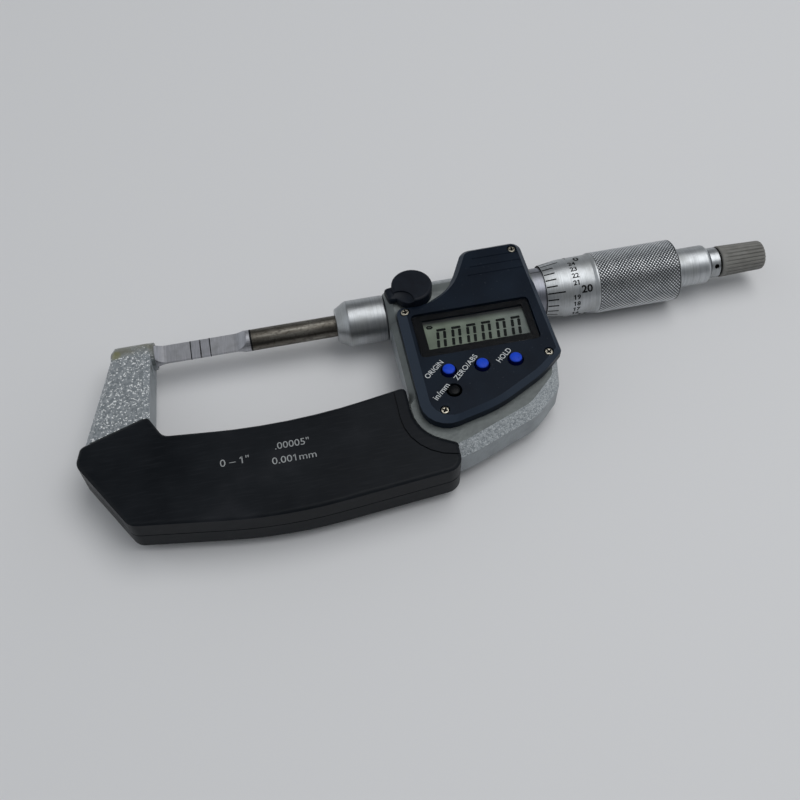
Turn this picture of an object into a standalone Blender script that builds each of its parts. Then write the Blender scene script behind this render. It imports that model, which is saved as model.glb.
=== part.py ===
# Digital blade micrometer, 0 to 25 mm, lying on its back with the display up.
# X runs along the measuring line from the anvil to the ratchet, Y from the bow to the spindle,
# Z from the back to the display. The measuring faces meet at X = 0 on the line Y = Z = 0,
# and a root empty carries the whole instrument to its place on the table. Sizes are in metres.
import math

import bmesh
import bpy

# fits
CLEARANCE = 0.0003           # between pieces that seat or run in each other
BRAZE_GAP = 0.0001           # between a carbide tip and its blade
FACE_GAP = 0.0001            # between the two closed measuring faces

# measuring line
TRAVEL = 0.0254
SPINDLE_RADIUS = 0.003175
BLADE_THICKNESS = 0.00075
BLADE_FLAT = 0.0100          # ground to full thinness this far from the face
RUNOUT_RADIUS = 0.0040       # grinding wheel's run-out into the round shank
TIP_LENGTH = 0.0028
SHANK_END = 0.0147           # the blade shank's shoulder on the spindle
SPIGOT_RADIUS = 0.0020
SPIGOT_LENGTH = 0.0056
ANVIL_REACH = 0.0141         # arm face to the measuring face
ANVIL_SEAT = 0.0095          # how deep the anvil sits in the arm
ANVIL_PAD_RADIUS = 0.0041    # machined pad round the anvil on the arm
ANVIL_PAD_PROUD = 0.0010

# frame
FRAME_THICKNESS = 0.0110
ARM_TOP = 0.0038             # arm's round end above the measuring line
ARM_WIDTH = 0.0111
ARM_LEAN = 0.0082            # how far the arm's outer edge leans out by the cover
THROAT_DEPTH = 0.0315
BOW_DROP = 0.0153            # lowest point of the covers below the display case
BODY_LEFT = 0.0562
BODY_LEFT_MARGIN = 0.0056    # body past the window at its left end
BODY_RIGHT_MARGIN = 0.0040
BODY_TOP = 0.0124
BOSS_RADIUS = 0.0084
FRAME_CHAMFER = 0.0016
BODY_SLOPE = 0.0027          # height of the wide slope on the body's lower edge
COVER_INSET = 0.0035         # cover wall outside the bow

# covers on the bow
COVER_HEIGHT = 0.0062        # each cover's outer face from the frame's middle
COVER_SEAT = 0.0007          # how deep each cover is let into the frame's face
COVER_PARTING = 0.00015
COVER_CHAMFER = 0.0006
COVER_RIGHT = 0.0657
LIP_WIDTH = 0.0033
GROOVE_WIDTH = 0.0004
GROOVE_DEPTH = 0.0004

# guide, collar and sleeve
GUIDE_WALL = 0.001525
COLLAR_RADIUS = 0.0069
COLLAR_FRONT_RADIUS = 0.0049
COLLAR_FRONT = 0.0406
COLLAR_CONE = 0.0036
COLLAR_LIP = 0.0016
SLEEVE_RADIUS = 0.0073
SLEEVE_SEAT = 0.0082         # how deep the sleeve sits in the body
SLEEVE_END_GAP = 0.0012      # from the sleeve's end to the thimble's closed end
SLEEVE_NECK_RADIUS = 0.0054
SLEEVE_NECK_LENGTH = 0.0130
NUT_LENGTH = 0.0070
KEY_LENGTH = 0.0060
KEY_WIDTH = 0.0014
KEY_FROM_END = 0.0069        # from the guide's end to the key's middle
KEYWAY_DEPTH = 0.0009

# thimble, hub and ratchet
SLEEVE_SHOWN = 0.00375        # sleeve in view between the body and the thimble
THIMBLE_WALL = 0.0003
BEVEL_LENGTH = 0.0062
BEVEL_RADIUS = 0.0088
BARREL_LENGTH = 0.00865
BARREL_RADIUS = 0.0089
KNURL_LENGTH = 0.0265
KNURL_RADIUS = 0.00928
KNURL_SHOULDER = 0.0008       # rounded step up from the barrel
THIMBLE_CHAMFER = 0.0003
THIMBLE_BACK = 0.0022        # thickness of the thimble's closed end
HUB_LENGTH = 0.0114
HUB_RADIUS = 0.00595
HUB_CHAMFER = 0.0009
RING_LENGTH = 0.0036
RING_RADIUS = 0.00465
RING_HOLE_RADIUS = 0.00075
RING_HOLE_ANGLE = 57.0
RATCHET_LENGTH = 0.0146
RATCHET_RADIUS = 0.0048
RATCHET_END_RADIUS = 0.0044
RATCHET_BORE_RADIUS = 0.0036
RATCHET_WALL = 0.0022
FLUTES = 24
FLUTE_RADIUS = 0.00042
SCREW_RADIUS = 0.0036
TAIL_RADIUS = 0.0034
BOLT_RADIUS = 0.0014
BOLT_HEAD_RADIUS = 0.0026
BOLT_HEAD = 0.0012
CLUTCH_THICKNESS = 0.0016
SPRING_WIRE = 0.0005
SPRING_TURNS = 4

# encoder round the spindle
STATOR_THICKNESS = 0.0022
ROTOR_RADIUS = 0.0066
ROTOR_THICKNESS = 0.0014
ROTOR_HUB = 0.0030

# display case on the front of the frame
CASE_TOP = 0.0096
CASE_SHOULDER = 0.0082
CASE_CEILING = 0.0076
CASE_BEVEL = 0.0015
CASE_LEFT_BEVEL = 0.0026
CASE_SET_IN = 0.0018         # the case's left wall from the body's
CASE_OVERHANG = 0.0002       # the case past the body's right end
CASE_LOBE_TOP = 0.0137
RIB_SPACING = 0.0031
RIB_DEPTH = 0.00015
WINDOW_Y = -0.0162
WINDOW_LENGTH = 0.0344
WINDOW_WIDTH = 0.0150
WINDOW_CORNER = 0.0010
WINDOW_THICKNESS = 0.0006
WINDOW_DEPTH = 0.0002        # the window's face below the case's
WINDOW_BORDER = 0.0019       # window past the display at each end
LCD_WIDTH = 0.0110
LCD_THICKNESS = 0.0017
LCD_AIR = 0.0005             # air between the display and its window
POCKET_FLOOR = 0.0027        # electronics pocket in the frame's front
BOARD_THICKNESS = 0.0010
BOARD_MARGIN = 0.0010        # board past the display's ends
MAT_THICKNESS = 0.0012
CASE_SCREW_HEAD = 0.00125
CASE_SCREW_SHANK = 0.0007
CASE_SCREW_LENGTH = 0.0056

# buttons
BUTTON_RADIUS = 0.00205
BUTTON_TOP_RADIUS = 0.00175
BUTTON_TOP = 0.01075
BUTTON_FLANGE = 0.0008
BUTTON_PITCH = 0.0096
BUTTON_DROP = 0.00615         # button row below the window
UNIT_DROP = 0.00665           # unit button below the row
CASE_DROP = 0.0116           # the case's lower corner below the unit button
BUTTON_TRAVEL = 0.0004
UNIT_BUTTON_RADIUS = 0.0020
UNIT_BUTTON_TOP = 0.0099

# spindle clamp
CLAMP_FROM_LEFT = 0.0077
CLAMP_Y = 0.0007
CLAMP_RADIUS = 0.0060
CLAMP_TOP = 0.0124
CLAMP_SHAFT_RADIUS = 0.0019
CLAMP_TAB_REACH = 0.0081
CLAMP_TAB_WIDTH = 0.0048
CLAMP_TAB_ANGLE = 190.0
CLAMP_SCOOP_RADIUS = 0.0039

# back of the body
BACK_DEPTH = 0.0098          # measuring line above the table
BACK_INSET = 0.0040
BACK_SCREW_HEAD = 0.0016
BACK_SCREW_SHANK = 0.0008
BACK_SCREW_LENGTH = 0.0070
BATTERY_FROM_RIGHT = 0.0202
BATTERY_Y = -0.0270
BATTERY_RADIUS = 0.0058
BATTERY_THICKNESS = 0.0054
CAP_RADIUS = 0.0072
CAP_THICKNESS = 0.0013
CAP_SLOT_WIDTH = 0.0014
CAP_SLOT_DEPTH = 0.0006
CONTACT_THICKNESS = 0.0003

ARC_STEPS = 7                # points in a wide rounded corner
CORNER_STEPS = 3             # points in a tight one
TIGHT_CORNER = 0.0022
ROUND = 36                   # sides of the large turned pieces
SMALL_ROUND = 16
TINY_ROUND = 10

# worked out along the measuring line
anvil_end = -(ANVIL_REACH + ANVIL_SEAT)
arm_outer = -(ANVIL_REACH + ARM_WIDTH)
body_right = BODY_LEFT + BODY_LEFT_MARGIN + WINDOW_LENGTH + BODY_RIGHT_MARGIN
sleeve_front = body_right - SLEEVE_SEAT
spindle_end = sleeve_front - CLEARANCE
rotor_hub_end = sleeve_front - 2 * CLEARANCE
rotor_end = rotor_hub_end - ROTOR_HUB
rotor_start = rotor_end - ROTOR_THICKNESS
stator_end = rotor_start - CLEARANCE
stator_start = stator_end - STATOR_THICKNESS
guide_end = stator_start - 2 * CLEARANCE
key_centre = guide_end - KEY_FROM_END
thimble_edge = body_right + SLEEVE_SHOWN
bevel_end = thimble_edge + BEVEL_LENGTH
barrel_end = bevel_end + BARREL_LENGTH
knurl_end = barrel_end + KNURL_LENGTH
thimble_end = knurl_end + THIMBLE_CHAMFER
thimble_inside = thimble_end - THIMBLE_BACK
sleeve_end = thimble_inside - SLEEVE_END_GAP
hub_end = thimble_end + HUB_LENGTH
ring_end = hub_end + RING_LENGTH
ratchet_end = ring_end + RATCHET_LENGTH

# worked out across it
half = FRAME_THICKNESS / 2
body_bore = SLEEVE_RADIUS + CLEARANCE
guide_bore = SPINDLE_RADIUS + CLEARANCE
guide_radius = guide_bore + GUIDE_WALL
sleeve_bore = SCREW_RADIUS + CLEARANCE
thimble_bore = SLEEVE_RADIUS + CLEARANCE
thimble_edge_radius = thimble_bore + THIMBLE_WALL

# places on the body
case_left = BODY_LEFT + CASE_SET_IN
case_right = body_right + CASE_OVERHANG
window_x = BODY_LEFT + BODY_LEFT_MARGIN + WINDOW_LENGTH / 2
lcd_length = WINDOW_LENGTH - 2 * WINDOW_BORDER
board_left = window_x - lcd_length / 2 - BOARD_MARGIN
board_right = window_x + lcd_length / 2 + BOARD_MARGIN
clamp_x = BODY_LEFT + CLAMP_FROM_LEFT
battery_x = body_right - BATTERY_FROM_RIGHT
button_row = WINDOW_Y - WINDOW_WIDTH / 2 - BUTTON_DROP
unit_row = button_row - UNIT_DROP
case_low = unit_row - CASE_DROP
bow_low = case_low - BOW_DROP
throat_low = -THROAT_DEPTH
overlap = 0.00003            # joined bodies stand this far off each other's flat faces

for old in list(bpy.data.objects):
    bpy.data.objects.remove(old, do_unlink=True)

scene = bpy.context.scene
parts = bpy.data.collections.new("digital_blade_micrometer")
tools = bpy.data.collections.new("cutters")
scene.collection.children.link(parts)
scene.collection.children.link(tools)

root = bpy.data.objects.new("instrument_origin", None)
parts.objects.link(root)


def finish(name, colour, metallic, roughness):
    material = bpy.data.materials.new(name)
    material.use_nodes = True
    shader = material.node_tree.nodes["Principled BSDF"]
    shader.inputs["Base Color"].default_value = (*colour, 1.0)
    shader.inputs["Metallic"].default_value = metallic
    shader.inputs["Roughness"].default_value = roughness
    return material


hammertone = finish("hammertone_paint", (0.42, 0.43, 0.43), 0.6, 0.45)
black_plastic = finish("black_cover_plastic", (0.012, 0.013, 0.015), 0.0, 0.45)
navy_plastic = finish("navy_case_plastic", (0.010, 0.016, 0.026), 0.0, 0.4)
satin_chrome = finish("satin_chrome", (0.60, 0.61, 0.62), 1.0, 0.35)
ground_steel = finish("ground_steel", (0.50, 0.50, 0.51), 1.0, 0.25)
dark_steel = finish("tarnished_steel", (0.13, 0.11, 0.09), 1.0, 0.4)
carbide = finish("carbide", (0.42, 0.42, 0.46), 1.0, 0.25)
knob_plastic = finish("clamp_black_plastic", (0.014, 0.016, 0.02), 0.0, 0.45)
grey_plastic = finish("ratchet_grey_plastic", (0.25, 0.24, 0.20), 0.0, 0.6)
blue_plastic = finish("blue_button_plastic", (0.03, 0.10, 0.62), 0.0, 0.35)
clear_plastic = finish("clear_window", (0.75, 0.80, 0.78), 0.0, 0.1)
lcd_green = finish("lcd_glass", (0.30, 0.35, 0.28), 0.0, 0.3)
board_green = finish("circuit_board_laminate", (0.02, 0.12, 0.05), 0.0, 0.5)
rubber = finish("silicone_rubber", (0.05, 0.05, 0.05), 0.0, 0.8)
brass = finish("brass_screw", (0.55, 0.50, 0.36), 1.0, 0.35)
spring_steel = finish("spring_steel", (0.45, 0.45, 0.45), 1.0, 0.3)


def add(name, mesh, material, at=(0.0, 0.0, 0.0), cutter=False):
    thing = bpy.data.objects.new(name, mesh)
    thing.location = at
    if cutter:
        thing.display_type = "WIRE"
        thing.hide_render = True
        tools.objects.link(thing)
    else:
        mesh.materials.append(material)
        parts.objects.link(thing)
    thing.parent = root
    return thing


def smooth(thing, angle=32):
    thing.data.shade_smooth()
    thing.data.set_sharp_from_angle(angle=math.radians(angle))
    return thing


def rounded(corners, inset=0.0):
    """Outline through (x, y, radius) corners, counter-clockwise, moved inwards by inset."""
    count = len(corners)
    edges = []
    for i in range(count):
        ax, ay, _ = corners[i]
        bx, by, _ = corners[(i + 1) % count]
        long = math.hypot(bx - ax, by - ay)
        ux, uy = (bx - ax) / long, (by - ay) / long
        edges.append((ax - uy * inset, ay + ux * inset, ux, uy))
    points = []
    for i in range(count):
        px, py, ux, uy = edges[i - 1]
        qx, qy, vx, vy = edges[i]
        turn = ux * vy - uy * vx
        along = ((qx - px) * vy - (qy - py) * vx) / turn
        cx, cy = px + ux * along, py + uy * along
        radius = corners[i][2] - inset if turn > 0 else corners[i][2] + inset
        radius = max(radius, 0.00005)
        angle = math.atan2(turn, ux * vx + uy * vy)
        reach = radius * abs(math.tan(angle / 2))
        sx, sy = cx - ux * reach, cy - uy * reach
        side = 1 if turn > 0 else -1
        mx, my = sx - uy * radius * side, sy + ux * radius * side
        start = math.atan2(sy - my, sx - mx)
        steps = CORNER_STEPS if corners[i][2] < TIGHT_CORNER else ARC_STEPS
        for step in range(steps):
            a = start + angle * step / (steps - 1)
            points.append((mx + radius * math.cos(a), my + radius * math.sin(a)))
    return points


def lofted(name, rings, material, at=(0.0, 0.0, 0.0), cutter=False):
    """Closed body through rings of matching points, from the lowest (points, z) to the highest."""
    bm = bmesh.new()
    loops = []
    for points, z in rings:
        verts = [bm.verts.new((x, y, z)) for x, y in points]
        loops.append([bm.edges.new((verts[i - 1], verts[i])) for i in range(len(verts))])
    for low, high in zip(loops, loops[1:]):
        bmesh.ops.bridge_loops(bm, edges=low + high)
    bmesh.ops.contextual_create(bm, geom=loops[0])
    bmesh.ops.contextual_create(bm, geom=loops[-1])
    bmesh.ops.recalc_face_normals(bm, faces=bm.faces)
    mesh = bpy.data.meshes.new(name)
    bm.to_mesh(mesh)
    bm.free()
    return add(name, mesh, material, at, cutter)


def slab(name, points, low, high, material, at=(0.0, 0.0, 0.0), cutter=False):
    return lofted(name, [(points, low), (points, high)], material, at, cutter)


def box(name, low, high, material, at=(0.0, 0.0, 0.0), cutter=False):
    bm = bmesh.new()
    bmesh.ops.create_cube(bm, size=1.0)
    middle = [(a + b) / 2 for a, b in zip(low, high)]
    bmesh.ops.scale(bm, vec=[b - a for a, b in zip(low, high)], verts=bm.verts)
    bmesh.ops.translate(bm, vec=middle, verts=bm.verts)
    mesh = bpy.data.meshes.new(name)
    bm.to_mesh(mesh)
    bm.free()
    return add(name, mesh, material, at, cutter)


def turned(name, profile, material, at=(0.0, 0.0, 0.0), hollow=False, upright=False,
           sides=ROUND, cutter=False):
    """Body of revolution. The profile holds (station, radius) from the far end, down the outside
    to the near end and back up the bore. The axis is X, or Z when upright."""
    bm = bmesh.new()
    verts = [bm.verts.new((radius, 0.0, station)) for station, radius in profile]
    for a, b in zip(verts, verts[1:]):
        bm.edges.new((a, b))
    if hollow:
        bm.edges.new((verts[-1], verts[0]))
    mesh = bpy.data.meshes.new(name)
    bm.to_mesh(mesh)
    bm.free()
    thing = add(name, mesh, material, at, cutter)
    if not upright:
        thing.rotation_euler = (0.0, math.pi / 2, 0.0)
    screw = thing.modifiers.new("Turn", "SCREW")
    screw.axis = "Z"
    screw.steps = sides
    screw.render_steps = sides
    screw.use_merge_vertices = True
    screw.merge_threshold = 0.00001
    screw.use_smooth_shade = True
    return thing


def hole(at, radius, low, high, sides=SMALL_ROUND, along="Z"):
    """Round cutter along Z or X between two stations."""
    profile = [(high, 0.0), (high, radius), (low, radius), (low, 0.0)]
    return turned("hole", profile, None, at, upright=along == "Z", sides=sides, cutter=True)


def cut(thing, *cutters, operation="DIFFERENCE"):
    for cutter in cutters:
        boolean = thing.modifiers.new(operation.title(), "BOOLEAN")
        boolean.operation = operation
        boolean.solver = "EXACT"
        boolean.object = cutter
    return thing


def join(thing, *others):
    return cut(thing, *others, operation="UNION")


# Outlines of the flat pieces, as (x, y, corner radius), counter-clockwise.
arm_end_y = ARM_TOP - half
cover_top = throat_low - 0.0042

cover_corners = [
    (-ANVIL_REACH - 0.0018, throat_low + 0.0065, 0.0010),
    (arm_outer - 0.0091, throat_low + 0.0002, 0.0022),
    (arm_outer - 0.0105, throat_low - 0.0051, 0.0040),
    (arm_outer + 0.0027, bow_low + 0.0056, 0.0040),
    (0.0171, bow_low, 0.1300),
    (COVER_RIGHT, bow_low + 0.0046, 0.0045),
    (COVER_RIGHT, bow_low + 0.0125, 0.0012),
    (BODY_LEFT - 0.0007, bow_low + 0.0181, 0.0117),
    (BODY_LEFT - 0.0007, throat_low + 0.0014, 0.0012),
    (0.0219, cover_top, 0.1670),
    (-ANVIL_REACH + 0.0019, throat_low - 0.0006, 0.0030),
]
lip_corners = [
    (BODY_LEFT - 0.0007 - LIP_WIDTH, 0.0100, 0.0010),
    (BODY_LEFT - 0.0007 - LIP_WIDTH, bow_low + 0.0109, 0.0144),
    (COVER_RIGHT + 0.0244, bow_low + 0.0056, 0.0010),
    (COVER_RIGHT + 0.0244, 0.0100, 0.0010),
]
# the body's lower edge, and how far its corners move in on the front face for the wide slope
body_edge = [
    (body_right - 0.0322, case_low - 0.0058, 0.0400),
    (body_right - 0.0097, case_low + 0.0031, 0.0140),
    (body_right - 0.0016, case_low + 0.0109, 0.0050),
]
slope_moves = [(-0.0004, 0.0016), (-0.0009, 0.0014), (-0.0002, 0.0020)]


def frame_outline(share):
    """The frame's corners, with the given share of the wide slope taken off."""
    edge = [(x + share * dx, y + share * dy, r)
            for (x, y, r), (dx, dy) in zip(body_edge, slope_moves)]
    return [
        (-ANVIL_REACH, arm_end_y, 0.0002),
        (arm_outer, arm_end_y, 0.0002),
        (arm_outer - ARM_LEAN, throat_low + 0.0015, 0.0010),
        (arm_outer - 0.0060, throat_low - 0.0020, 0.0010),
        (arm_outer - 0.0064, throat_low - 0.0080, 0.0030),
        (arm_outer + 0.0034, bow_low + 0.0088, 0.0050),
        (0.0225, bow_low + COVER_INSET + 0.0005, 0.1200),
        *edge,
        (body_right + 0.0004, case_low + 0.0211, 0.0100),
        (body_right, 0.0000, 0.0005),
        (body_right, BODY_TOP, 0.0020),
        (body_right - 0.0192, BODY_TOP, 0.0030),
        (body_right - 0.0235, 0.0040, 0.0005),
        (BODY_LEFT, 0.0040, 0.0002),
        (BODY_LEFT, throat_low - 0.0035, 0.0030),
        (0.0120, cover_top - COVER_INSET, 0.1200),
        (-ANVIL_REACH - 0.0024, throat_low - 0.0057, 0.0050),
    ]


frame_corners = frame_outline(0.0)
case_corners = [
    (case_left, -0.0042, 0.0026),
    (case_left, case_low, 0.0075),
    (body_right - 0.0207, case_low + 0.0053, 0.0400),
    (body_right - 0.0062, case_low + 0.0131, 0.0300),
    (body_right + 0.0008, case_low + 0.0192, 0.0012),
    (case_right - 0.0003, 0.0020, 0.0500),
    (body_right - 0.0003, CASE_LOBE_TOP + 0.0002, 0.0030),
    (body_right - 0.0183, CASE_LOBE_TOP, 0.0042),
    (body_right - 0.0249, 0.0006, 0.0180),
    (body_right - 0.0319, -0.0035, 0.0050),
]
board_top_edge = WINDOW_Y + LCD_WIDTH / 2 + BOARD_MARGIN
board_corners = [
    (board_left, board_top_edge, 0.0005),
    (board_left - 0.0010, unit_row - 0.0012, 0.0005),
    (board_left + 0.0030, unit_row - 0.0032, 0.0005),
    (window_x + 0.0010, unit_row - 0.0027, 0.0005),
    (board_right - 0.0015, button_row - 0.0012, 0.0005),
    (board_right, button_row + 0.0062, 0.0005),
    (board_right, board_top_edge, 0.0005),
]
back_corners = [
    (BODY_LEFT + BACK_INSET, 0.0060, 0.0025),
    (BODY_LEFT + BACK_INSET, case_low + 0.0081, 0.0080),
    (BODY_LEFT + BACK_INSET + 0.0088, case_low + 0.0021, 0.0060),
    (body_right - 0.0117, case_low + 0.0096, 0.0200),
    (body_right - BACK_INSET + 0.0010, case_low + 0.0191, 0.0060),
    (body_right - BACK_INSET + 0.0010, BODY_TOP - 0.0010, 0.0020),
    (body_right - 0.0182, BODY_TOP - 0.0010, 0.0030),
    (body_right - 0.0204, 0.0060, 0.0020),
]
case_screw_places = [
    (case_left + 0.0024, -0.0067), (case_left + 0.0061, case_low + 0.0058),
    (body_right - 0.0031, case_low + 0.0190), (body_right - 0.0033, CASE_LOBE_TOP - 0.0032),
]
back_screw_places = [
    (BODY_LEFT + BACK_INSET + 0.0055, case_low + 0.0093),
    (body_right - 0.0062, case_low + 0.0191), (body_right - 0.0057, BODY_TOP - 0.0044),
]
button_x = window_x - BUTTON_PITCH - 0.0014
button_places = {
    "button_origin": (button_x, button_row),
    "button_zero": (button_x + BUTTON_PITCH, button_row),
    "button_hold": (button_x + 2 * BUTTON_PITCH, button_row),
}
unit_button_place = (button_x, unit_row)

# frame: one casting with round arm end, spindle boss, chamfered outer edge and a seat for each cover
frame = lofted("frame", [
    (rounded(frame_corners, FRAME_CHAMFER / 2), -half),
    (rounded(frame_corners), -half + FRAME_CHAMFER / 2),
    (rounded(frame_corners), half - BODY_SLOPE),
    (rounded(frame_outline(2 - 2 * FRAME_CHAMFER / BODY_SLOPE)), half - FRAME_CHAMFER),
    (rounded(frame_outline(1.0), FRAME_CHAMFER), half),
], hammertone)
arm_round = turned("arm_round", [
    (-ANVIL_REACH - overlap, 0.0), (-ANVIL_REACH - overlap, half - 0.0006),
    (-ANVIL_REACH - 0.0006, half - overlap), (arm_outer + 0.0012, half - overlap),
    (arm_outer - 0.0002, half - 0.0014), (arm_outer - 0.0002, 0.0),
], None, (0.0, arm_end_y, 0.0), cutter=True)
anvil_pad = turned("anvil_pad", [
    (-ANVIL_REACH + ANVIL_PAD_PROUD, 0.0), (-ANVIL_REACH + ANVIL_PAD_PROUD, ANVIL_PAD_RADIUS),
    (-ANVIL_REACH - 0.0030, ANVIL_PAD_RADIUS), (-ANVIL_REACH - 0.0030, 0.0),
], None, sides=SMALL_ROUND, cutter=True)
spindle_boss = turned("spindle_boss", [
    (body_right - overlap, 0.0), (body_right - overlap, BOSS_RADIUS),
    (BODY_LEFT + 0.0015, BOSS_RADIUS),
    (BODY_LEFT - 0.0005, COLLAR_RADIUS), (BODY_LEFT - 0.0005, 0.0),
], None, cutter=True)
join(frame, arm_round, anvil_pad, spindle_boss)
pocket = slab("electronics_pocket", rounded(board_corners, -CLEARANCE * 2), POCKET_FLOOR,
              half + 0.0050, None, cutter=True)
stepped_bore = turned("stepped_bore", [
    (body_right + 0.0010, 0.0), (body_right + 0.0010, body_bore),
    (guide_end + CLEARANCE, body_bore), (guide_end + CLEARANCE, guide_radius + CLEARANCE),
    (BODY_LEFT - 0.0020, guide_radius + CLEARANCE), (BODY_LEFT - 0.0020, 0.0),
], None, cutter=True)
battery_pocket_top = -BACK_DEPTH + CAP_THICKNESS + BATTERY_THICKNESS + 3 * CLEARANCE + 0.0008
cover_seat = rounded(cover_corners, -CLEARANCE)
cut(
    frame,
    slab("front_seat", cover_seat, half - COVER_SEAT, half + 0.0010, None, cutter=True),
    slab("rear_seat", cover_seat, -half - 0.0010, -half + COVER_SEAT, None, cutter=True),
    hole((0, 0, 0), SPINDLE_RADIUS + CLEARANCE, anvil_end - CLEARANCE, 0.0, along="X"),
    stepped_bore,
    hole((clamp_x, CLAMP_Y, 0), CLAMP_SHAFT_RADIUS + CLEARANCE, SPINDLE_RADIUS, CLAMP_TOP),
    pocket,
    hole((battery_x, BATTERY_Y, 0), BATTERY_RADIUS + CLEARANCE, -BACK_DEPTH - 0.001,
         battery_pocket_top),
)
for x, y in case_screw_places:
    cut(frame, hole((x, y, 0), CASE_SCREW_SHANK + CLEARANCE, CASE_TOP - CASE_SCREW_LENGTH - 0.0020,
                    half + 0.0010, sides=TINY_ROUND))
for x, y in back_screw_places:
    cut(frame, hole((x, y, 0), BACK_SCREW_SHANK + CLEARANCE, -half - 0.0010,
                    -BACK_DEPTH + BACK_SCREW_LENGTH + 0.0006, sides=TINY_ROUND))


# Blades: round shanks ground thin from both sides with a wheel's run-out.
def ground_profile(mirror):
    height = SPINDLE_RADIUS + 0.0010
    sweep = math.acos(1 - (height - BLADE_THICKNESS / 2) / RUNOUT_RADIUS)
    curve = [(BLADE_FLAT + RUNOUT_RADIUS * math.sin(sweep * i / 8),
              BLADE_THICKNESS / 2 + RUNOUT_RADIUS * (1 - math.cos(sweep * i / 8)))
             for i in range(9)]
    upper = [(-0.0010, BLADE_THICKNESS / 2)] + curve + [(0.0300, height)]
    loop = upper + [(x, -z) for x, z in reversed(upper)]
    return [(mirror * x, z) for x, z in loop]


def grind(thing, mirror):
    """Keep what a thin blade and its round shank share."""
    form = slab("ground_form", ground_profile(mirror), -SPINDLE_RADIUS - 0.001,
                SPINDLE_RADIUS + 0.001, None, cutter=True)
    form.rotation_euler = (math.pi / 2, 0.0, 0.0)
    cut(thing, form, operation="INTERSECT")
    return thing


near_face = FACE_GAP / 2
tip_back = near_face + TIP_LENGTH
blade_front = tip_back + BRAZE_GAP
shoulder = SHANK_END + CLEARANCE

anvil = turned("anvil", [
    (-blade_front, 0.0), (-blade_front, SPINDLE_RADIUS),
    (anvil_end, SPINDLE_RADIUS), (anvil_end, 0.0),
], ground_steel)
grind(anvil, -1)
anvil_tip = turned("anvil_tip", [
    (-near_face, 0.0), (-near_face, SPINDLE_RADIUS), (-tip_back, SPINDLE_RADIUS), (-tip_back, 0.0),
], carbide)
grind(anvil_tip, -1)
spindle_blade = turned("spindle_blade", [
    (SHANK_END + SPIGOT_LENGTH, 0.0), (SHANK_END + SPIGOT_LENGTH, SPIGOT_RADIUS),
    (SHANK_END, SPIGOT_RADIUS), (SHANK_END, SPINDLE_RADIUS),
    (blade_front, SPINDLE_RADIUS), (blade_front, 0.0),
], ground_steel)
grind(spindle_blade, 1)
spindle_tip = turned("spindle_tip", [
    (tip_back, 0.0), (tip_back, SPINDLE_RADIUS), (near_face, SPINDLE_RADIUS), (near_face, 0.0),
], carbide)
grind(spindle_tip, 1)

spindle = turned("spindle", [
    (spindle_end, 0.0), (spindle_end, SPINDLE_RADIUS - 0.0003),
    (spindle_end - 0.0003, SPINDLE_RADIUS), (shoulder, SPINDLE_RADIUS),
    (shoulder, SPIGOT_RADIUS + CLEARANCE),
    (SHANK_END + SPIGOT_LENGTH + CLEARANCE, SPIGOT_RADIUS + CLEARANCE),
    (SHANK_END + SPIGOT_LENGTH + CLEARANCE, 0.0),
], dark_steel)
keyway_floor = -SPINDLE_RADIUS + KEYWAY_DEPTH
cut(spindle, box("keyway", (key_centre - TRAVEL - KEY_LENGTH / 2 - CLEARANCE,
                            -KEY_WIDTH / 2 - CLEARANCE, -SPINDLE_RADIUS - 0.001),
                 (key_centre + KEY_LENGTH / 2 + CLEARANCE, KEY_WIDTH / 2 + CLEARANCE,
                  keyway_floor), None, cutter=True))

# guide, its key and the nose collar
spindle_guide = turned("spindle_guide", [
    (guide_end, guide_radius), (COLLAR_FRONT + COLLAR_LIP + CLEARANCE, guide_radius),
    (COLLAR_FRONT + COLLAR_LIP + CLEARANCE, guide_bore), (guide_end, guide_bore),
], ground_steel, hollow=True)
cut(
    spindle_guide,
    hole((clamp_x, CLAMP_Y, 0), CLAMP_SHAFT_RADIUS + CLEARANCE, 0.0, guide_radius + 0.001),
    box("key_slot", (key_centre - KEY_LENGTH / 2 - CLEARANCE, -KEY_WIDTH / 2 - CLEARANCE,
                     -guide_radius - 0.001),
        (key_centre + KEY_LENGTH / 2 + CLEARANCE, KEY_WIDTH / 2 + CLEARANCE, 0.0),
        None, cutter=True),
)
spindle_key = box("spindle_key", (key_centre - KEY_LENGTH / 2, -KEY_WIDTH / 2, -guide_radius + 0.0002),
                  (key_centre + KEY_LENGTH / 2, KEY_WIDTH / 2, keyway_floor - CLEARANCE),
                  ground_steel)
nose_collar = turned("nose_collar", [
    (BODY_LEFT - 0.0005 - CLEARANCE, COLLAR_RADIUS), (COLLAR_FRONT + COLLAR_CONE, COLLAR_RADIUS),
    (COLLAR_FRONT, COLLAR_FRONT_RADIUS), (COLLAR_FRONT, guide_bore),
    (COLLAR_FRONT + COLLAR_LIP, guide_bore), (COLLAR_FRONT + COLLAR_LIP, guide_radius + CLEARANCE),
    (BODY_LEFT - 0.0005 - CLEARANCE, guide_radius + CLEARANCE),
], satin_chrome, hollow=True)

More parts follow.
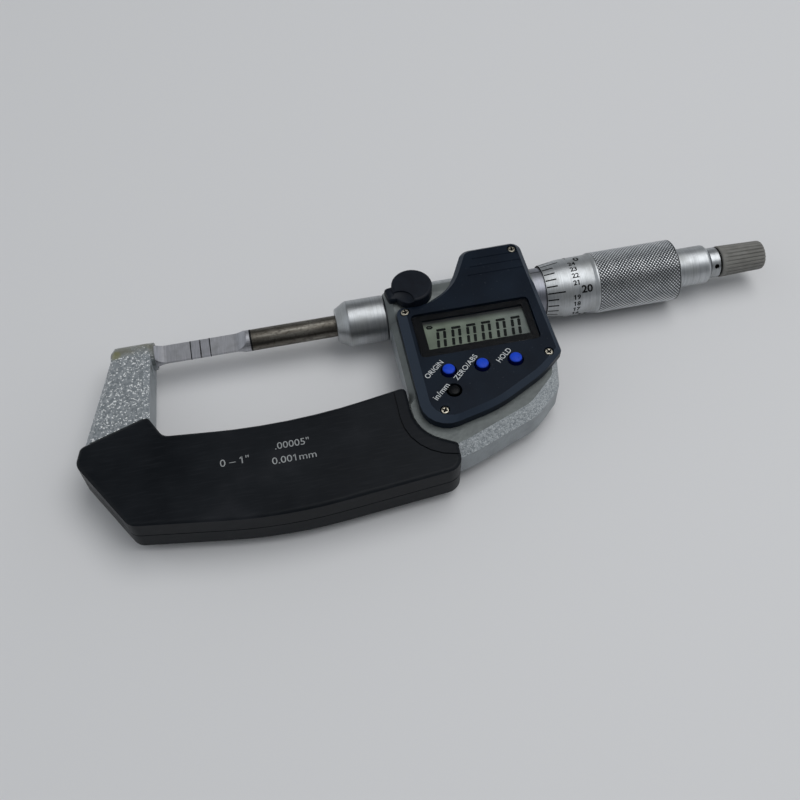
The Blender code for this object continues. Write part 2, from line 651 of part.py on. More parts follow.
# spindle clamp: a knob with a thumb tab and a finger scoop, on a shaft down to the spindle
knob_base = BOSS_RADIUS + CLEARANCE
clamp_knob = turned("clamp_knob", [
    (CLAMP_TOP, 0.0), (CLAMP_TOP, CLAMP_RADIUS - 0.0005), (CLAMP_TOP - 0.0004, CLAMP_RADIUS),
    (knob_base, CLAMP_RADIUS), (knob_base, 0.0),
], knob_plastic, (clamp_x, CLAMP_Y, 0.0), upright=True, sides=ROUND)
tab = box("clamp_tab", (0.0020, -CLAMP_TAB_WIDTH / 2, knob_base),
          (CLAMP_TAB_REACH, CLAMP_TAB_WIDTH / 2, CLAMP_TOP - 0.0008), None,
          (clamp_x, CLAMP_Y, 0.0), cutter=True)
tab.rotation_euler = (0.0, 0.0, math.radians(CLAMP_TAB_ANGLE))
edge = tab.modifiers.new("Round", "BEVEL")
edge.width = 0.0010
edge.segments = 2
edge.limit_method = "ANGLE"
join(clamp_knob, tab)
scoop_angle = math.radians(CLAMP_TAB_ANGLE + 42)
scoop_reach = CLAMP_RADIUS + CLAMP_SCOOP_RADIUS * 0.24
cut(
    clamp_knob,
    turned("finger_scoop", [
        (0.0010, 0.0), (0.0010, CLAMP_SCOOP_RADIUS), (-0.0006, CLAMP_SCOOP_RADIUS),
        (-0.0014, CLAMP_SCOOP_RADIUS - 0.0014), (-0.0014, 0.0),
    ], None, (clamp_x + scoop_reach * math.cos(scoop_angle),
              CLAMP_Y + scoop_reach * math.sin(scoop_angle), CLAMP_TOP),
        upright=True, cutter=True),
    hole((clamp_x, CLAMP_Y, 0), CLAMP_SHAFT_RADIUS + CLEARANCE, knob_base - 0.001, CLAMP_TOP - 0.0014),
)
clamp_shaft = turned("clamp_shaft", [
    (CLAMP_TOP - 0.0014 - CLEARANCE, 0.0), (CLAMP_TOP - 0.0014 - CLEARANCE, CLAMP_SHAFT_RADIUS),
    (SPINDLE_RADIUS + CLEARANCE, CLAMP_SHAFT_RADIUS), (SPINDLE_RADIUS + CLEARANCE, 0.0),
], ground_steel, (clamp_x, CLAMP_Y, 0.0), upright=True, sides=SMALL_ROUND)

# covers: a front and a rear shell round the bow, with a lip round the right end
bow_room = rounded(frame_corners, -CLEARANCE)


def cover(name, sign):
    outer = rounded(cover_corners)
    inner = rounded(cover_corners, COVER_CHAMFER)
    rings = [(outer, COVER_PARTING), (outer, COVER_HEIGHT - COVER_CHAMFER), (inner, COVER_HEIGHT)]
    if sign < 0:
        rings = [(points, -z) for points, z in reversed(rings)]
    shell = lofted(name, rings, black_plastic)
    groove_floor = sign * (COVER_HEIGHT - GROOVE_DEPTH)
    groove_top = sign * (COVER_HEIGHT + 0.0010)
    groove = slab("lip_groove", rounded(lip_corners, -GROOVE_WIDTH), min(groove_floor, groove_top),
                  max(groove_floor, groove_top), None, cutter=True)
    cut(groove, slab("lip", rounded(lip_corners), -2 * COVER_HEIGHT, 2 * COVER_HEIGHT, None,
                     cutter=True))
    room = half - COVER_SEAT + CLEARANCE
    return cut(shell, slab("bow_room", bow_room, -room, room, None, cutter=True), groove)


front_cover = cover("front_cover", 1)
rear_cover = cover("rear_cover", -1)

# sleeve, nut and the turning screw
neck_start = sleeve_end - SLEEVE_NECK_LENGTH
fixed_sleeve = turned("fixed_sleeve", [
    (sleeve_end, SLEEVE_NECK_RADIUS), (neck_start, SLEEVE_NECK_RADIUS), (neck_start, SLEEVE_RADIUS),
    (sleeve_front, SLEEVE_RADIUS), (sleeve_front, sleeve_bore),
    (sleeve_end, sleeve_bore),
], satin_chrome, hollow=True)
nut_start = neck_start + 0.0022
adjusting_nut = turned("adjusting_nut", [
    (nut_start + NUT_LENGTH, SLEEVE_RADIUS - 0.0002), (nut_start, SLEEVE_RADIUS - 0.0002),
    (nut_start, SLEEVE_NECK_RADIUS + CLEARANCE),
    (nut_start + NUT_LENGTH, SLEEVE_NECK_RADIUS + CLEARANCE),
], ground_steel, hollow=True)

# encoder: a stator ring fixed in the body and a rotor disc that turns with the screw
encoder_stator = turned("encoder_stator", [
    (stator_end, body_bore - CLEARANCE), (stator_start, body_bore - CLEARANCE),
    (stator_start, guide_bore), (stator_end, guide_bore),
], board_green, hollow=True)
encoder_rotor = turned("encoder_rotor", [
    (rotor_hub_end, guide_bore + 0.0008), (rotor_end, guide_bore + 0.0008),
    (rotor_end, ROTOR_RADIUS), (rotor_start, ROTOR_RADIUS), (rotor_start, guide_bore),
    (rotor_hub_end, guide_bore),
], satin_chrome, hollow=True)

# thimble with graduated bevel, plain barrel, knurled grip and closed end
thimble = turned("thimble", [
    (thimble_end, KNURL_RADIUS - THIMBLE_CHAMFER), (knurl_end, KNURL_RADIUS),
    (barrel_end + KNURL_SHOULDER, KNURL_RADIUS), (barrel_end, BARREL_RADIUS),
    (bevel_end, BEVEL_RADIUS), (thimble_edge, thimble_edge_radius), (thimble_edge, thimble_bore),
    (thimble_inside, thimble_bore), (thimble_inside, TAIL_RADIUS + CLEARANCE),
    (thimble_end, TAIL_RADIUS + CLEARANCE),
], satin_chrome, hollow=True)
hub_start = thimble_end + CLEARANCE
thimble_hub = turned("thimble_hub", [
    (hub_end, HUB_RADIUS - HUB_CHAMFER), (hub_end - HUB_CHAMFER, HUB_RADIUS),
    (hub_start, HUB_RADIUS), (hub_start, TAIL_RADIUS + CLEARANCE),
    (hub_end, TAIL_RADIUS + CLEARANCE),
], satin_chrome, hollow=True)
screw_start = sleeve_front
spindle_screw = turned("spindle_screw", [
    (hub_end, 0.0), (hub_end, TAIL_RADIUS), (sleeve_end, TAIL_RADIUS), (sleeve_end, SCREW_RADIUS),
    (screw_start + 0.0080, SCREW_RADIUS), (screw_start + 0.0080, SPINDLE_RADIUS),
    (screw_start, SPINDLE_RADIUS), (screw_start, 0.0),
], ground_steel, sides=24)
ring_start = hub_end + CLEARANCE
bolt_front = hub_end - 0.0060
bolt_clear = BOLT_RADIUS + CLEARANCE
cut(spindle_screw, hole((0, 0, 0), bolt_clear, bolt_front - CLEARANCE, hub_end + 0.001, along="X",
                        sides=TINY_ROUND))
spanner_ring = turned("spanner_ring", [
    (ring_end, RING_RADIUS), (ring_start, RING_RADIUS), (ring_start, bolt_clear),
    (ring_end, bolt_clear),
], satin_chrome, hollow=True)
spanner_hole = hole(((ring_start + ring_end) / 2, 0, 0), RING_HOLE_RADIUS, RING_RADIUS - 0.0016,
                    RING_RADIUS + 0.001, sides=TINY_ROUND)
spanner_hole.rotation_euler = (math.radians(RING_HOLE_ANGLE), 0.0, 0.0)
cut(spanner_ring, spanner_hole)

# ratchet stop: fluted knob, clutch disc, spring and the bolt that holds them
ratchet_start = ring_end + CLEARANCE
ratchet_inside = ratchet_end - RATCHET_WALL
ratchet_knob = turned("ratchet_knob", [
    (ratchet_end, RATCHET_END_RADIUS - 0.0008), (ratchet_end - 0.0008, RATCHET_END_RADIUS),
    (ratchet_start + 0.0004, RATCHET_RADIUS), (ratchet_start, RATCHET_RADIUS - 0.0004),
    (ratchet_start, RATCHET_BORE_RADIUS), (ratchet_inside, RATCHET_BORE_RADIUS),
    (ratchet_inside, bolt_clear), (ratchet_end - BOLT_HEAD, bolt_clear),
    (ratchet_end - BOLT_HEAD, BOLT_HEAD_RADIUS + CLEARANCE),
    (ratchet_end, BOLT_HEAD_RADIUS + CLEARANCE),
], grey_plastic, hollow=True)
flute_bm = bmesh.new()
for i in range(FLUTES):
    angle = 2 * math.pi * i / FLUTES
    made = bmesh.ops.create_cone(flute_bm, cap_ends=True, segments=5, radius1=FLUTE_RADIUS,
                                 radius2=FLUTE_RADIUS, depth=ratchet_end - ratchet_start)["verts"]
    bmesh.ops.translate(flute_bm, vec=(RATCHET_RADIUS * math.cos(angle),
                                       RATCHET_RADIUS * math.sin(angle), 0.0), verts=made)
flute_mesh = bpy.data.meshes.new("flutes")
flute_bm.to_mesh(flute_mesh)
flute_bm.free()
flutes = add("flutes", flute_mesh, None, ((ratchet_start + ratchet_end) / 2 + 0.0012, 0.0, 0.0),
             cutter=True)
flutes.rotation_euler = (0.0, math.pi / 2, 0.0)
cut(ratchet_knob, flutes)
clutch_start = ratchet_start
ratchet_clutch = turned("ratchet_clutch", [
    (clutch_start + CLUTCH_THICKNESS, RATCHET_BORE_RADIUS - CLEARANCE),
    (clutch_start, RATCHET_BORE_RADIUS - CLEARANCE), (clutch_start, bolt_clear),
    (clutch_start + CLUTCH_THICKNESS, bolt_clear),
], ground_steel, hollow=True, sides=SMALL_ROUND)
ratchet_bolt = turned("ratchet_bolt", [
    (ratchet_end - CLEARANCE, 0.0), (ratchet_end - CLEARANCE, BOLT_HEAD_RADIUS),
    (ratchet_end - BOLT_HEAD + CLEARANCE, BOLT_HEAD_RADIUS),
    (ratchet_end - BOLT_HEAD + CLEARANCE, BOLT_RADIUS), (bolt_front, BOLT_RADIUS),
    (bolt_front, 0.0),
], ground_steel, sides=SMALL_ROUND)
cut(ratchet_bolt, box("bolt_slot", (ratchet_end - CLEARANCE - 0.0005, -0.0030, -0.0003),
                      (ratchet_end + 0.001, 0.0030, 0.0003), None, cutter=True))

spring_start = clutch_start + CLUTCH_THICKNESS + CLEARANCE + SPRING_WIRE / 2
spring_end = ratchet_inside - CLEARANCE - SPRING_WIRE / 2
spring_radius = (bolt_clear + RATCHET_BORE_RADIUS) / 2
coil = bpy.data.curves.new("ratchet_spring", "CURVE")
coil.dimensions = "3D"
coil.bevel_depth = SPRING_WIRE / 2
coil.bevel_resolution = 0
coil.use_fill_caps = True
wire = coil.splines.new("POLY")
coil_points = SPRING_TURNS * 10 + 1
wire.points.add(coil_points - 1)
for i in range(coil_points):
    angle = 2 * math.pi * i / 10
    station = spring_start + (spring_end - spring_start) * i / (coil_points - 1)
    wire.points[i].co = (station, spring_radius * math.cos(angle), spring_radius * math.sin(angle), 1)
coil.materials.append(spring_steel)
ratchet_spring = bpy.data.objects.new("ratchet_spring", coil)
parts.objects.link(ratchet_spring)
ratchet_spring.parent = root

# display case: a moulded shell with bevelled edge, ribs, window recess and relief for the knob
case_base = half + CLEARANCE
left_shift = CASE_LEFT_BEVEL - CASE_BEVEL
case_face_corners = [(x + left_shift if x == case_left else x, y, r) for x, y, r in case_corners]
display_case = lofted("display_case", [
    (rounded(case_corners), case_base),
    (rounded(case_corners), CASE_SHOULDER),
    (rounded(case_face_corners, CASE_BEVEL), CASE_TOP),
], navy_plastic)
ledge = CASE_TOP - WINDOW_DEPTH - WINDOW_THICKNESS - CLEARANCE
window_corners = [
    (-WINDOW_LENGTH / 2, WINDOW_WIDTH / 2, WINDOW_CORNER),
    (-WINDOW_LENGTH / 2, -WINDOW_WIDTH / 2, WINDOW_CORNER),
    (WINDOW_LENGTH / 2, -WINDOW_WIDTH / 2, WINDOW_CORNER),
    (WINDOW_LENGTH / 2, WINDOW_WIDTH / 2, WINDOW_CORNER),
]
cavity = slab("case_cavity", rounded(board_corners, -CLEARANCE), case_base - 0.001, CASE_CEILING,
              None, cutter=True)
knob_relief = hole((clamp_x, CLAMP_Y, 0), CLAMP_RADIUS + CLEARANCE, 0.0, CASE_TOP + 0.001,
                   sides=ROUND)
cut(
    display_case,
    hole((0, 0, 0), BOSS_RADIUS + CLEARANCE, BODY_LEFT - 0.010, body_right + 0.010, along="X",
         sides=ROUND),
    cavity,
    knob_relief,
    slab("window_recess", rounded(window_corners, -CLEARANCE), ledge, CASE_TOP + 0.001, None,
         (window_x, WINDOW_Y, 0.0), cutter=True),
    box("display_opening", (window_x - lcd_length / 2 - CLEARANCE, WINDOW_Y - LCD_WIDTH / 2 - CLEARANCE,
                            0.0),
        (window_x + lcd_length / 2 + CLEARANCE, WINDOW_Y + LCD_WIDTH / 2 + CLEARANCE, CASE_TOP),
        None, cutter=True),
)
for i in range(3):
    rib_y = CASE_LOBE_TOP - CASE_BEVEL - 0.0030 - i * RIB_SPACING
    cut(display_case, box("rib_groove", (body_right - 0.0160 - i * 0.0014, rib_y - RIB_SPACING * 0.36,
                                          CASE_TOP - RIB_DEPTH),
                          (case_right - CASE_BEVEL - 0.0006, rib_y, CASE_TOP + 0.001), None,
                          cutter=True))
for x, y in case_screw_places:
    cut(display_case,
        hole((x, y, 0), CASE_SCREW_SHANK + CLEARANCE, 0.0, CASE_TOP + 0.001, sides=TINY_ROUND),
        hole((x, y, 0), CASE_SCREW_HEAD + CLEARANCE / 2, CASE_TOP - 0.0012, CASE_TOP + 0.001))

window_base = ledge + CLEARANCE
display_window = slab("display_window", rounded(window_corners), 0.0, WINDOW_THICKNESS, clear_plastic,
                      (window_x, WINDOW_Y, window_base))
lcd_base = window_base - LCD_AIR - LCD_THICKNESS
lcd_panel = box("lcd_panel", (-lcd_length / 2, -LCD_WIDTH / 2, lcd_base),
                (lcd_length / 2, LCD_WIDTH / 2, lcd_base + LCD_THICKNESS), lcd_green,
                (window_x, WINDOW_Y, 0.0))

# electronics under the case: board, display connectors, button mat and the battery contact
board_base = POCKET_FLOOR + CLEARANCE
board_top = board_base + BOARD_THICKNESS
circuit_board = slab("circuit_board", rounded(board_corners), board_base, board_top, board_green)
lcd_connectors = box("lcd_connectors", (-lcd_length / 2 + 0.0010, LCD_WIDTH / 2 - 0.0020,
                                        board_top + CLEARANCE),
                     (lcd_length / 2 - 0.0010, LCD_WIDTH / 2 - 0.0004, lcd_base - CLEARANCE), rubber,
                     (window_x, WINDOW_Y, 0.0))
mat_base = board_top + CLEARANCE
mat_left = button_x - BUTTON_RADIUS - 0.0004
mat_right = button_x + 2 * BUTTON_PITCH + BUTTON_RADIUS + 0.0004
mat_top = button_row + BUTTON_RADIUS + 0.0004
mat_low = unit_row - UNIT_BUTTON_RADIUS
mat_corners = [
    (mat_left, mat_top, 0.0008), (mat_left, mat_low, 0.0008),
    (button_x + UNIT_BUTTON_RADIUS, mat_low, 0.0008),
    (button_x + BUTTON_PITCH, button_row - BUTTON_RADIUS - 0.0018, 0.0008),
    (mat_right, button_row - BUTTON_RADIUS, 0.0008), (mat_right, mat_top, 0.0008),
]
button_mat = slab("button_mat", rounded(mat_corners), mat_base, mat_base + MAT_THICKNESS, rubber)
flange_top = CASE_CEILING - CLEARANCE
flange_base = flange_top - BUTTON_FLANGE
dome_top = flange_base - BUTTON_TRAVEL - CLEARANCE


def button(name, place, radius, top_radius, top, material):
    x, y = place
    cap = turned(name, [
        (top, 0.0), (top, top_radius - 0.0004), (top - 0.0003, top_radius),
        (CASE_TOP + 0.0002, radius), (flange_top, radius), (flange_top, radius + 0.0006),
        (flange_base, radius + 0.0006), (flange_base, 0.0),
    ], material, (x, y, 0.0), upright=True, sides=SMALL_ROUND)
    cut(display_case, hole((x, y, 0), radius + CLEARANCE, 0.0, CASE_TOP + 0.001))
    join(button_mat, turned("mat_dome", [
        (dome_top, 0.0), (dome_top, radius - 0.0008), (mat_base + MAT_THICKNESS - 0.0004, radius - 0.0002),
        (mat_base + MAT_THICKNESS - 0.0004, 0.0),
    ], None, (x, y, 0.0), upright=True, sides=TINY_ROUND, cutter=True))
    return cap


for name, place in button_places.items():
    button(name, place, BUTTON_RADIUS, BUTTON_TOP_RADIUS, BUTTON_TOP, blue_plastic)
button("button_unit", unit_button_place, UNIT_BUTTON_RADIUS, UNIT_BUTTON_RADIUS - 0.0004,
       UNIT_BUTTON_TOP, knob_plastic)


def screw(name, place, face, head, head_height, shank, length, up):
    """A turned screw with a crossed recess. Its head faces up, or down where up is -1."""
    x, y = place
    profile = [(0.0, 0.0), (0.0, head - 0.0002), (-0.0002, head), (-head_height, head),
               (-head_height, shank), (-length, shank), (-length, 0.0)]
    if up < 0:
        profile = [(-station, radius) for station, radius in reversed(profile)]
    blank = turned(name, profile, brass, (x, y, face), upright=True, sides=TINY_ROUND)
    for turn in (0.5, 0.5 + math.pi / 2):
        slot = box("recess", (-head * 0.62, -head * 0.16, -head_height * 0.6),
                   (head * 0.62, head * 0.16, head_height * 0.6), None, (x, y, face), cutter=True)
        slot.rotation_euler = (0.0, 0.0, turn)
        cut(blank, slot)
    return blank


for number, place in enumerate(case_screw_places, 1):
    screw(f"case_screw_{number}", place, CASE_TOP - 0.0001, CASE_SCREW_HEAD, 0.0008,
          CASE_SCREW_SHANK, CASE_SCREW_LENGTH, 1)

# back of the body: rear case, its screws, battery, contact and a coin-slotted cap
rear_case = lofted("rear_case", [
    (rounded(back_corners, 0.0008), -BACK_DEPTH),
    (rounded(back_corners), -BACK_DEPTH + 0.0008),
    (rounded(back_corners), -half - CLEARANCE),
], navy_plastic)
cut(
    rear_case,
    hole((0, 0, 0), BOSS_RADIUS + CLEARANCE, BODY_LEFT - 0.010, body_right + 0.010, along="X",
         sides=ROUND),
    hole((battery_x, BATTERY_Y, 0), BATTERY_RADIUS + CLEARANCE, -BACK_DEPTH - 0.001, 0.0),
    hole((battery_x, BATTERY_Y, 0), CAP_RADIUS + CLEARANCE, -BACK_DEPTH - 0.001,
         -BACK_DEPTH + CAP_THICKNESS + 2 * CLEARANCE, sides=ROUND),
)
for x, y in back_screw_places:
    cut(rear_case,
        hole((x, y, 0), BACK_SCREW_SHANK + CLEARANCE, -BACK_DEPTH - 0.001, 0.0, sides=TINY_ROUND),
        hole((x, y, 0), BACK_SCREW_HEAD + CLEARANCE, -BACK_DEPTH - 0.001, -BACK_DEPTH + 0.0014))
for number, place in enumerate(back_screw_places, 1):
    screw(f"rear_screw_{number}", place, -BACK_DEPTH + 0.0002, BACK_SCREW_HEAD, 0.0009,
          BACK_SCREW_SHANK, BACK_SCREW_LENGTH, -1)

cap_base = -BACK_DEPTH + CLEARANCE
battery_cap = turned("battery_cap", [
    (cap_base + CAP_THICKNESS, 0.0), (cap_base + CAP_THICKNESS, CAP_RADIUS),
    (cap_base + 0.0003, CAP_RADIUS), (cap_base, CAP_RADIUS - 0.0003), (cap_base, 0.0),
], navy_plastic, (battery_x, BATTERY_Y, 0.0), upright=True)
cut(battery_cap, box("coin_slot", (-CAP_RADIUS * 0.7, -CAP_SLOT_WIDTH / 2, cap_base - 0.001),
                     (CAP_RADIUS * 0.7, CAP_SLOT_WIDTH / 2, cap_base + CAP_SLOT_DEPTH), None,
                     (battery_x, BATTERY_Y, 0.0), cutter=True))
battery_base = cap_base + CAP_THICKNESS + CLEARANCE
battery = turned("battery", [
    (battery_base + BATTERY_THICKNESS, 0.0), (battery_base + BATTERY_THICKNESS, BATTERY_RADIUS - 0.0006),
    (battery_base + BATTERY_THICKNESS - 0.0006, BATTERY_RADIUS - 0.0001),
    (battery_base, BATTERY_RADIUS - 0.0001), (battery_base, 0.0),
], satin_chrome, (battery_x, BATTERY_Y, 0.0), upright=True, sides=24)
contact_base = battery_base + BATTERY_THICKNESS + CLEARANCE / 2
battery_contact = box("battery_contact", (-0.0040, -0.0015, contact_base),
                      (0.0040, 0.0015, contact_base + CONTACT_THICKNESS), spring_steel,
                      (battery_x, BATTERY_Y, 0.0))

for thing in parts.objects:
    if thing.type == "MESH" and not any(m.type == "SCREW" for m in thing.modifiers):
        smooth(thing)

# The root stands below the middle of the instrument's outline, on the table.
left = min(x for x, y in rounded(cover_corners))
low = min(y for x, y in rounded(cover_corners))
high = max(y for x, y in rounded(case_corners))
root.location = (-(left + ratchet_end) / 2, -(low + high) / 2, BACK_DEPTH)
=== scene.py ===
import math
import bmesh
import bpy
from mathutils import Matrix, Vector


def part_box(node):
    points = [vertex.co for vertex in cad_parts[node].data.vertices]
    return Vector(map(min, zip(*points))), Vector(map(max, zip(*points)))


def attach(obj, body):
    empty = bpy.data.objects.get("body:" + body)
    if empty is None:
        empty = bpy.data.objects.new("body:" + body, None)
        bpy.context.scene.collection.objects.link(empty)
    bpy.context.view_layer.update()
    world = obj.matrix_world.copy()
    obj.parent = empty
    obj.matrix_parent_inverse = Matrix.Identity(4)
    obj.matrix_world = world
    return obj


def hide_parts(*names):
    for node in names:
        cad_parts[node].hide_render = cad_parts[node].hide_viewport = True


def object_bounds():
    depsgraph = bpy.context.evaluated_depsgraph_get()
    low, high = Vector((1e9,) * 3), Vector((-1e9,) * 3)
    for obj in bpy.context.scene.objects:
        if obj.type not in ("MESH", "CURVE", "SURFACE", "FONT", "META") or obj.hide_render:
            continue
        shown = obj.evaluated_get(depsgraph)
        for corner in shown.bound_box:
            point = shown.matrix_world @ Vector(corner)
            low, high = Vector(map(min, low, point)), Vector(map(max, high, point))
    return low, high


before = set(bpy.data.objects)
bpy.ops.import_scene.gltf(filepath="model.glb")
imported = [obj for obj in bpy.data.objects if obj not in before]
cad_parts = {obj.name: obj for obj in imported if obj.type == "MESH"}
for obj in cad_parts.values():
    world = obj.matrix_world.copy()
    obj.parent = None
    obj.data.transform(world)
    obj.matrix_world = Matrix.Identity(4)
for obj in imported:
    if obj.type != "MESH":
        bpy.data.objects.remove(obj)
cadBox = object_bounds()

# Digital blade micrometer on a pale bench. Pieces are made in the instrument's own place:
# X along the measuring line from the anvil to the ratchet, Y from the bow to the spindle,
# Z from the back to the display, with the closed blades meeting at the origin.
mm = 0.001
faceGap = 0.1 * mm  # between the closed blades
tipLow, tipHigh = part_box("spindle_tip")
axisPlace = Vector((tipLow.x - faceGap / 2, (tipLow.y + tipHigh.y) / 2, (tipLow.z + tipHigh.z) / 2))
scene = bpy.context.scene


def local(node):
    low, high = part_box(node)
    return low - axisPlace, high - axisPlace


# camera at the photograph's angle
viewer = {
    "yaw": 0.179702,
    "pitch": 0.977054,
    "roll": -0.0262034,
    "place": Vector((25.887, -184.766, 232.671)) * mm,  # from the closed blades
    "lens": 44.45,
    "sensor": 36.0,
}
ahead = Vector((math.sin(viewer["yaw"]) * math.cos(viewer["pitch"]),
                math.cos(viewer["yaw"]) * math.cos(viewer["pitch"]), -math.sin(viewer["pitch"])))
level = Vector((math.cos(viewer["yaw"]), -math.sin(viewer["yaw"]), 0.0))
steep = level.cross(ahead)
right = level * math.cos(viewer["roll"]) + steep * math.sin(viewer["roll"])
top = steep * math.cos(viewer["roll"]) - level * math.sin(viewer["roll"])
camera = bpy.data.objects.new("photo_camera", bpy.data.cameras.new("photo_camera"))
camera.data.lens = viewer["lens"]
camera.data.sensor_width = viewer["sensor"]
camera.data.clip_start = 0.01
camera.matrix_world = (Matrix.Translation(axisPlace + viewer["place"])
                       @ Matrix((right, top, -ahead)).transposed().to_4x4())
scene.collection.objects.link(camera)
scene.camera = camera
print("camera placed")


# materials
def linear(hexColour):
    parts = [int(hexColour[i:i + 2], 16) / 255 for i in (1, 3, 5)]
    parts = [c / 12.92 if c <= 0.04045 else ((c + 0.055) / 1.055) ** 2.4 for c in parts]
    return (*parts, 1.0)


# a node with its inputs, each a value or another node's output, and its settings; stops are the
# places and hex colours of a colour ramp, and a colour mix has inputs 0, 6 and 7 and output 2
def addNode(material, kind, inputs=None, stops=(), **settings):
    new = material.node_tree.nodes.new(kind)
    for name, value in settings.items():
        setattr(new, name, value)
    for socket, value in (inputs or {}).items():
        if isinstance(value, bpy.types.NodeSocket):
            material.node_tree.links.new(value, new.inputs[socket])
        else:
            new.inputs[socket].default_value = value
    if stops:
        elements = new.color_ramp.elements
        while len(elements) < len(stops):
            elements.new(0.5)
        for element, (position, colour) in zip(elements, stops):
            element.position = position
            element.color = linear(colour)
    return new


# the material, its shader and its place in millimetres from the closed blades
def newMaterial(name, colour, metallic, roughness):
    material = bpy.data.materials.new(name)
    material.use_nodes = True
    shader = material.node_tree.nodes["Principled BSDF"]
    shader.inputs["Base Color"].default_value = linear(colour)
    shader.inputs["Metallic"].default_value = metallic
    shader.inputs["Roughness"].default_value = roughness
    where = addNode(material, "ShaderNodeTexCoord").outputs["Object"]
    place = addNode(material, "ShaderNodeMapping", {
        "Vector": where, "Location": -axisPlace / mm, "Scale": (1 / mm, 1 / mm, 1 / mm)})
    return material, shader, place.outputs["Vector"]


# connects the shader's inputs to what drives them
def drive(material, shader, sources):
    for name, source in sources.items():
        material.node_tree.links.new(source, shader.inputs[name])


# a moulded surface's fine grain: its size and height in millimetres, and how strong it looks
def moulding(material, place, size, height, strength):
    grain = addNode(material, "ShaderNodeTexNoise",
                    {"Vector": place, "Scale": 1 / size, "Detail": 2.0}).outputs["Fac"]
    return addNode(material, "ShaderNodeBump", {
        "Height": grain, "Distance": height * mm, "Strength": strength}).outputs["Normal"]


# how far a surface looks up, from -1 to 1
def lookingUp(material):
    surface = addNode(material, "ShaderNodeNewGeometry").outputs["Normal"]
    return addNode(material, "ShaderNodeSeparateXYZ", {"Vector": surface}).outputs["Z"]


def hammertonePaint():
    # Hammered metallic enamel, sprayed: grey pebbles about a millimetre across, with painted
    # glints, white on the arm and finer paler ones on the body's slope; smoother and duller
    # elsewhere, painted paler on the walls as painted light. The arm's end has an oily stain and a
    # spot of old yellow lacquer.
    material, shader, place = newMaterial("hammertone_enamel", "#8f9496", 0.3, 0.42)
    pebbles = addNode(material, "ShaderNodeTexVoronoi",
                      {"Vector": place, "Scale": 1 / 0.95, "Smoothness": 0.6},
                      feature="SMOOTH_F1").outputs["Distance"]
    glintNoise, sparkleNoise, cloud = (
        addNode(material, "ShaderNodeTexNoise",
                {"Vector": place, "Scale": 1 / size, "Detail": detail}).outputs["Fac"]
        for size, detail in ((0.52, 2.0), (0.3, 2.0), (4.0, 3.0)))
    where = addNode(material, "ShaderNodeSeparateXYZ", {"Vector": place}).outputs
    spotPlace = addNode(material, "ShaderNodeVectorMath", {0: place, 1: (-23.7, -1.5, 5.5)},
                        operation="DISTANCE").outputs["Value"]
    up = lookingUp(material)

    # each zone of the casting, from none to full: what it depends on, between which two values,
    # and how much of the finish it has there
    zones = {
        "armPlace": (where["X"], -13.2, -14.2, 0.0, 1.0), "armTop": (up, 0.3, 0.6, 0.0, 1.0),
        "slopeTop": (up, 0.93, 0.85, 0.0, 1.0), "slopeFoot": (up, 0.25, 0.4, 0.0, 1.0),
        "slopePlace": (where["X"], 61.0, 64.0, 0.0, 1.0),
        # the walls' paler tint is painted light, for the light bounced up from the bench
        "wallFace": (up, 0.3, 0.1, 0.0, 1.0), "wallCloud": (cloud, 0.2, 0.6, 0.6, 1.0),
        # these spots place painted highlights: white glints on the arm, finer pale sparkle on the
        # slope
        "glintSpots": (glintNoise, 0.58, 0.63, 0.0, 1.0), "grain": (sparkleNoise, 0.45, 0.68, 0.0, 0.8),
        "endPlace": (where["Y"], -3.0, -0.9, 0.0, 1.0), "endCloud": (cloud, 0.4, 0.56, 0.45, 1.0),
        "endReach": (where["X"], -10.0, -11.5, 0.0, 1.0), "spot": (spotPlace, 1.9, 1.1, 0.0, 0.7),
    }
    share = {}
    for zone, (source, none, full, least, most) in zones.items():
        share[zone] = addNode(material, "ShaderNodeMapRange", {
            "Value": source, "From Min": none, "From Max": full, "To Min": least,
            "To Max": most}).outputs["Result"]
    for zone, first, second, way in (
            ("arm", "armPlace", "armTop", "MULTIPLY"),
            ("slope", "slopeTop", "slopeFoot", "MULTIPLY"),
            ("slope", "slope", "slopePlace", "MULTIPLY"), ("hammered", "arm", "slope", "MAXIMUM"),
            ("wall", "wallFace", "wallCloud", "MULTIPLY"), ("paintedGlint", "glintSpots", "arm", "MULTIPLY"),
            ("paintedSparkle", "grain", "slope", "MULTIPLY"), ("end", "endPlace", "endCloud", "MULTIPLY"),
            ("end", "end", "endReach", "MULTIPLY")):
        share[zone] = addNode(material, "ShaderNodeMath", {0: share[first], 1: share[second]},
                              operation=way).outputs[0]

    coat = addNode(material, "ShaderNodeValToRGB", {"Fac": cloud},
                   [(0.3, "#5f6464"), (0.7, "#6b7170")]).outputs["Color"]
    pebbled = addNode(material, "ShaderNodeValToRGB", {"Fac": pebbles},
                      [(0.15, "#787e82"), (0.45, "#878d91"), (0.8, "#9ba0a4")]).outputs["Color"]
    for zone, colour in (("hammered", pebbled), ("wall", linear("#90969a")),
                         ("paintedGlint", linear("#f2f4f4")), ("paintedSparkle", linear("#c9cdce")),
                         ("end", linear("#7f8076")), ("spot", linear("#85855a"))):
        coat = addNode(material, "ShaderNodeMix", {0: share[zone], 6: coat, 7: colour},
                       data_type="RGBA").outputs[2]
    deep = addNode(material, "ShaderNodeMapRange", {
        "Value": share["hammered"], "To Min": 0.25, "To Max": 0.9}).outputs["Result"]
    relief = addNode(material, "ShaderNodeBump", {
        "Height": pebbles, "Distance": 0.14 * mm, "Strength": deep}).outputs["Normal"]
    drive(material, shader, {"Base Color": coat, "Normal": relief})
    return material


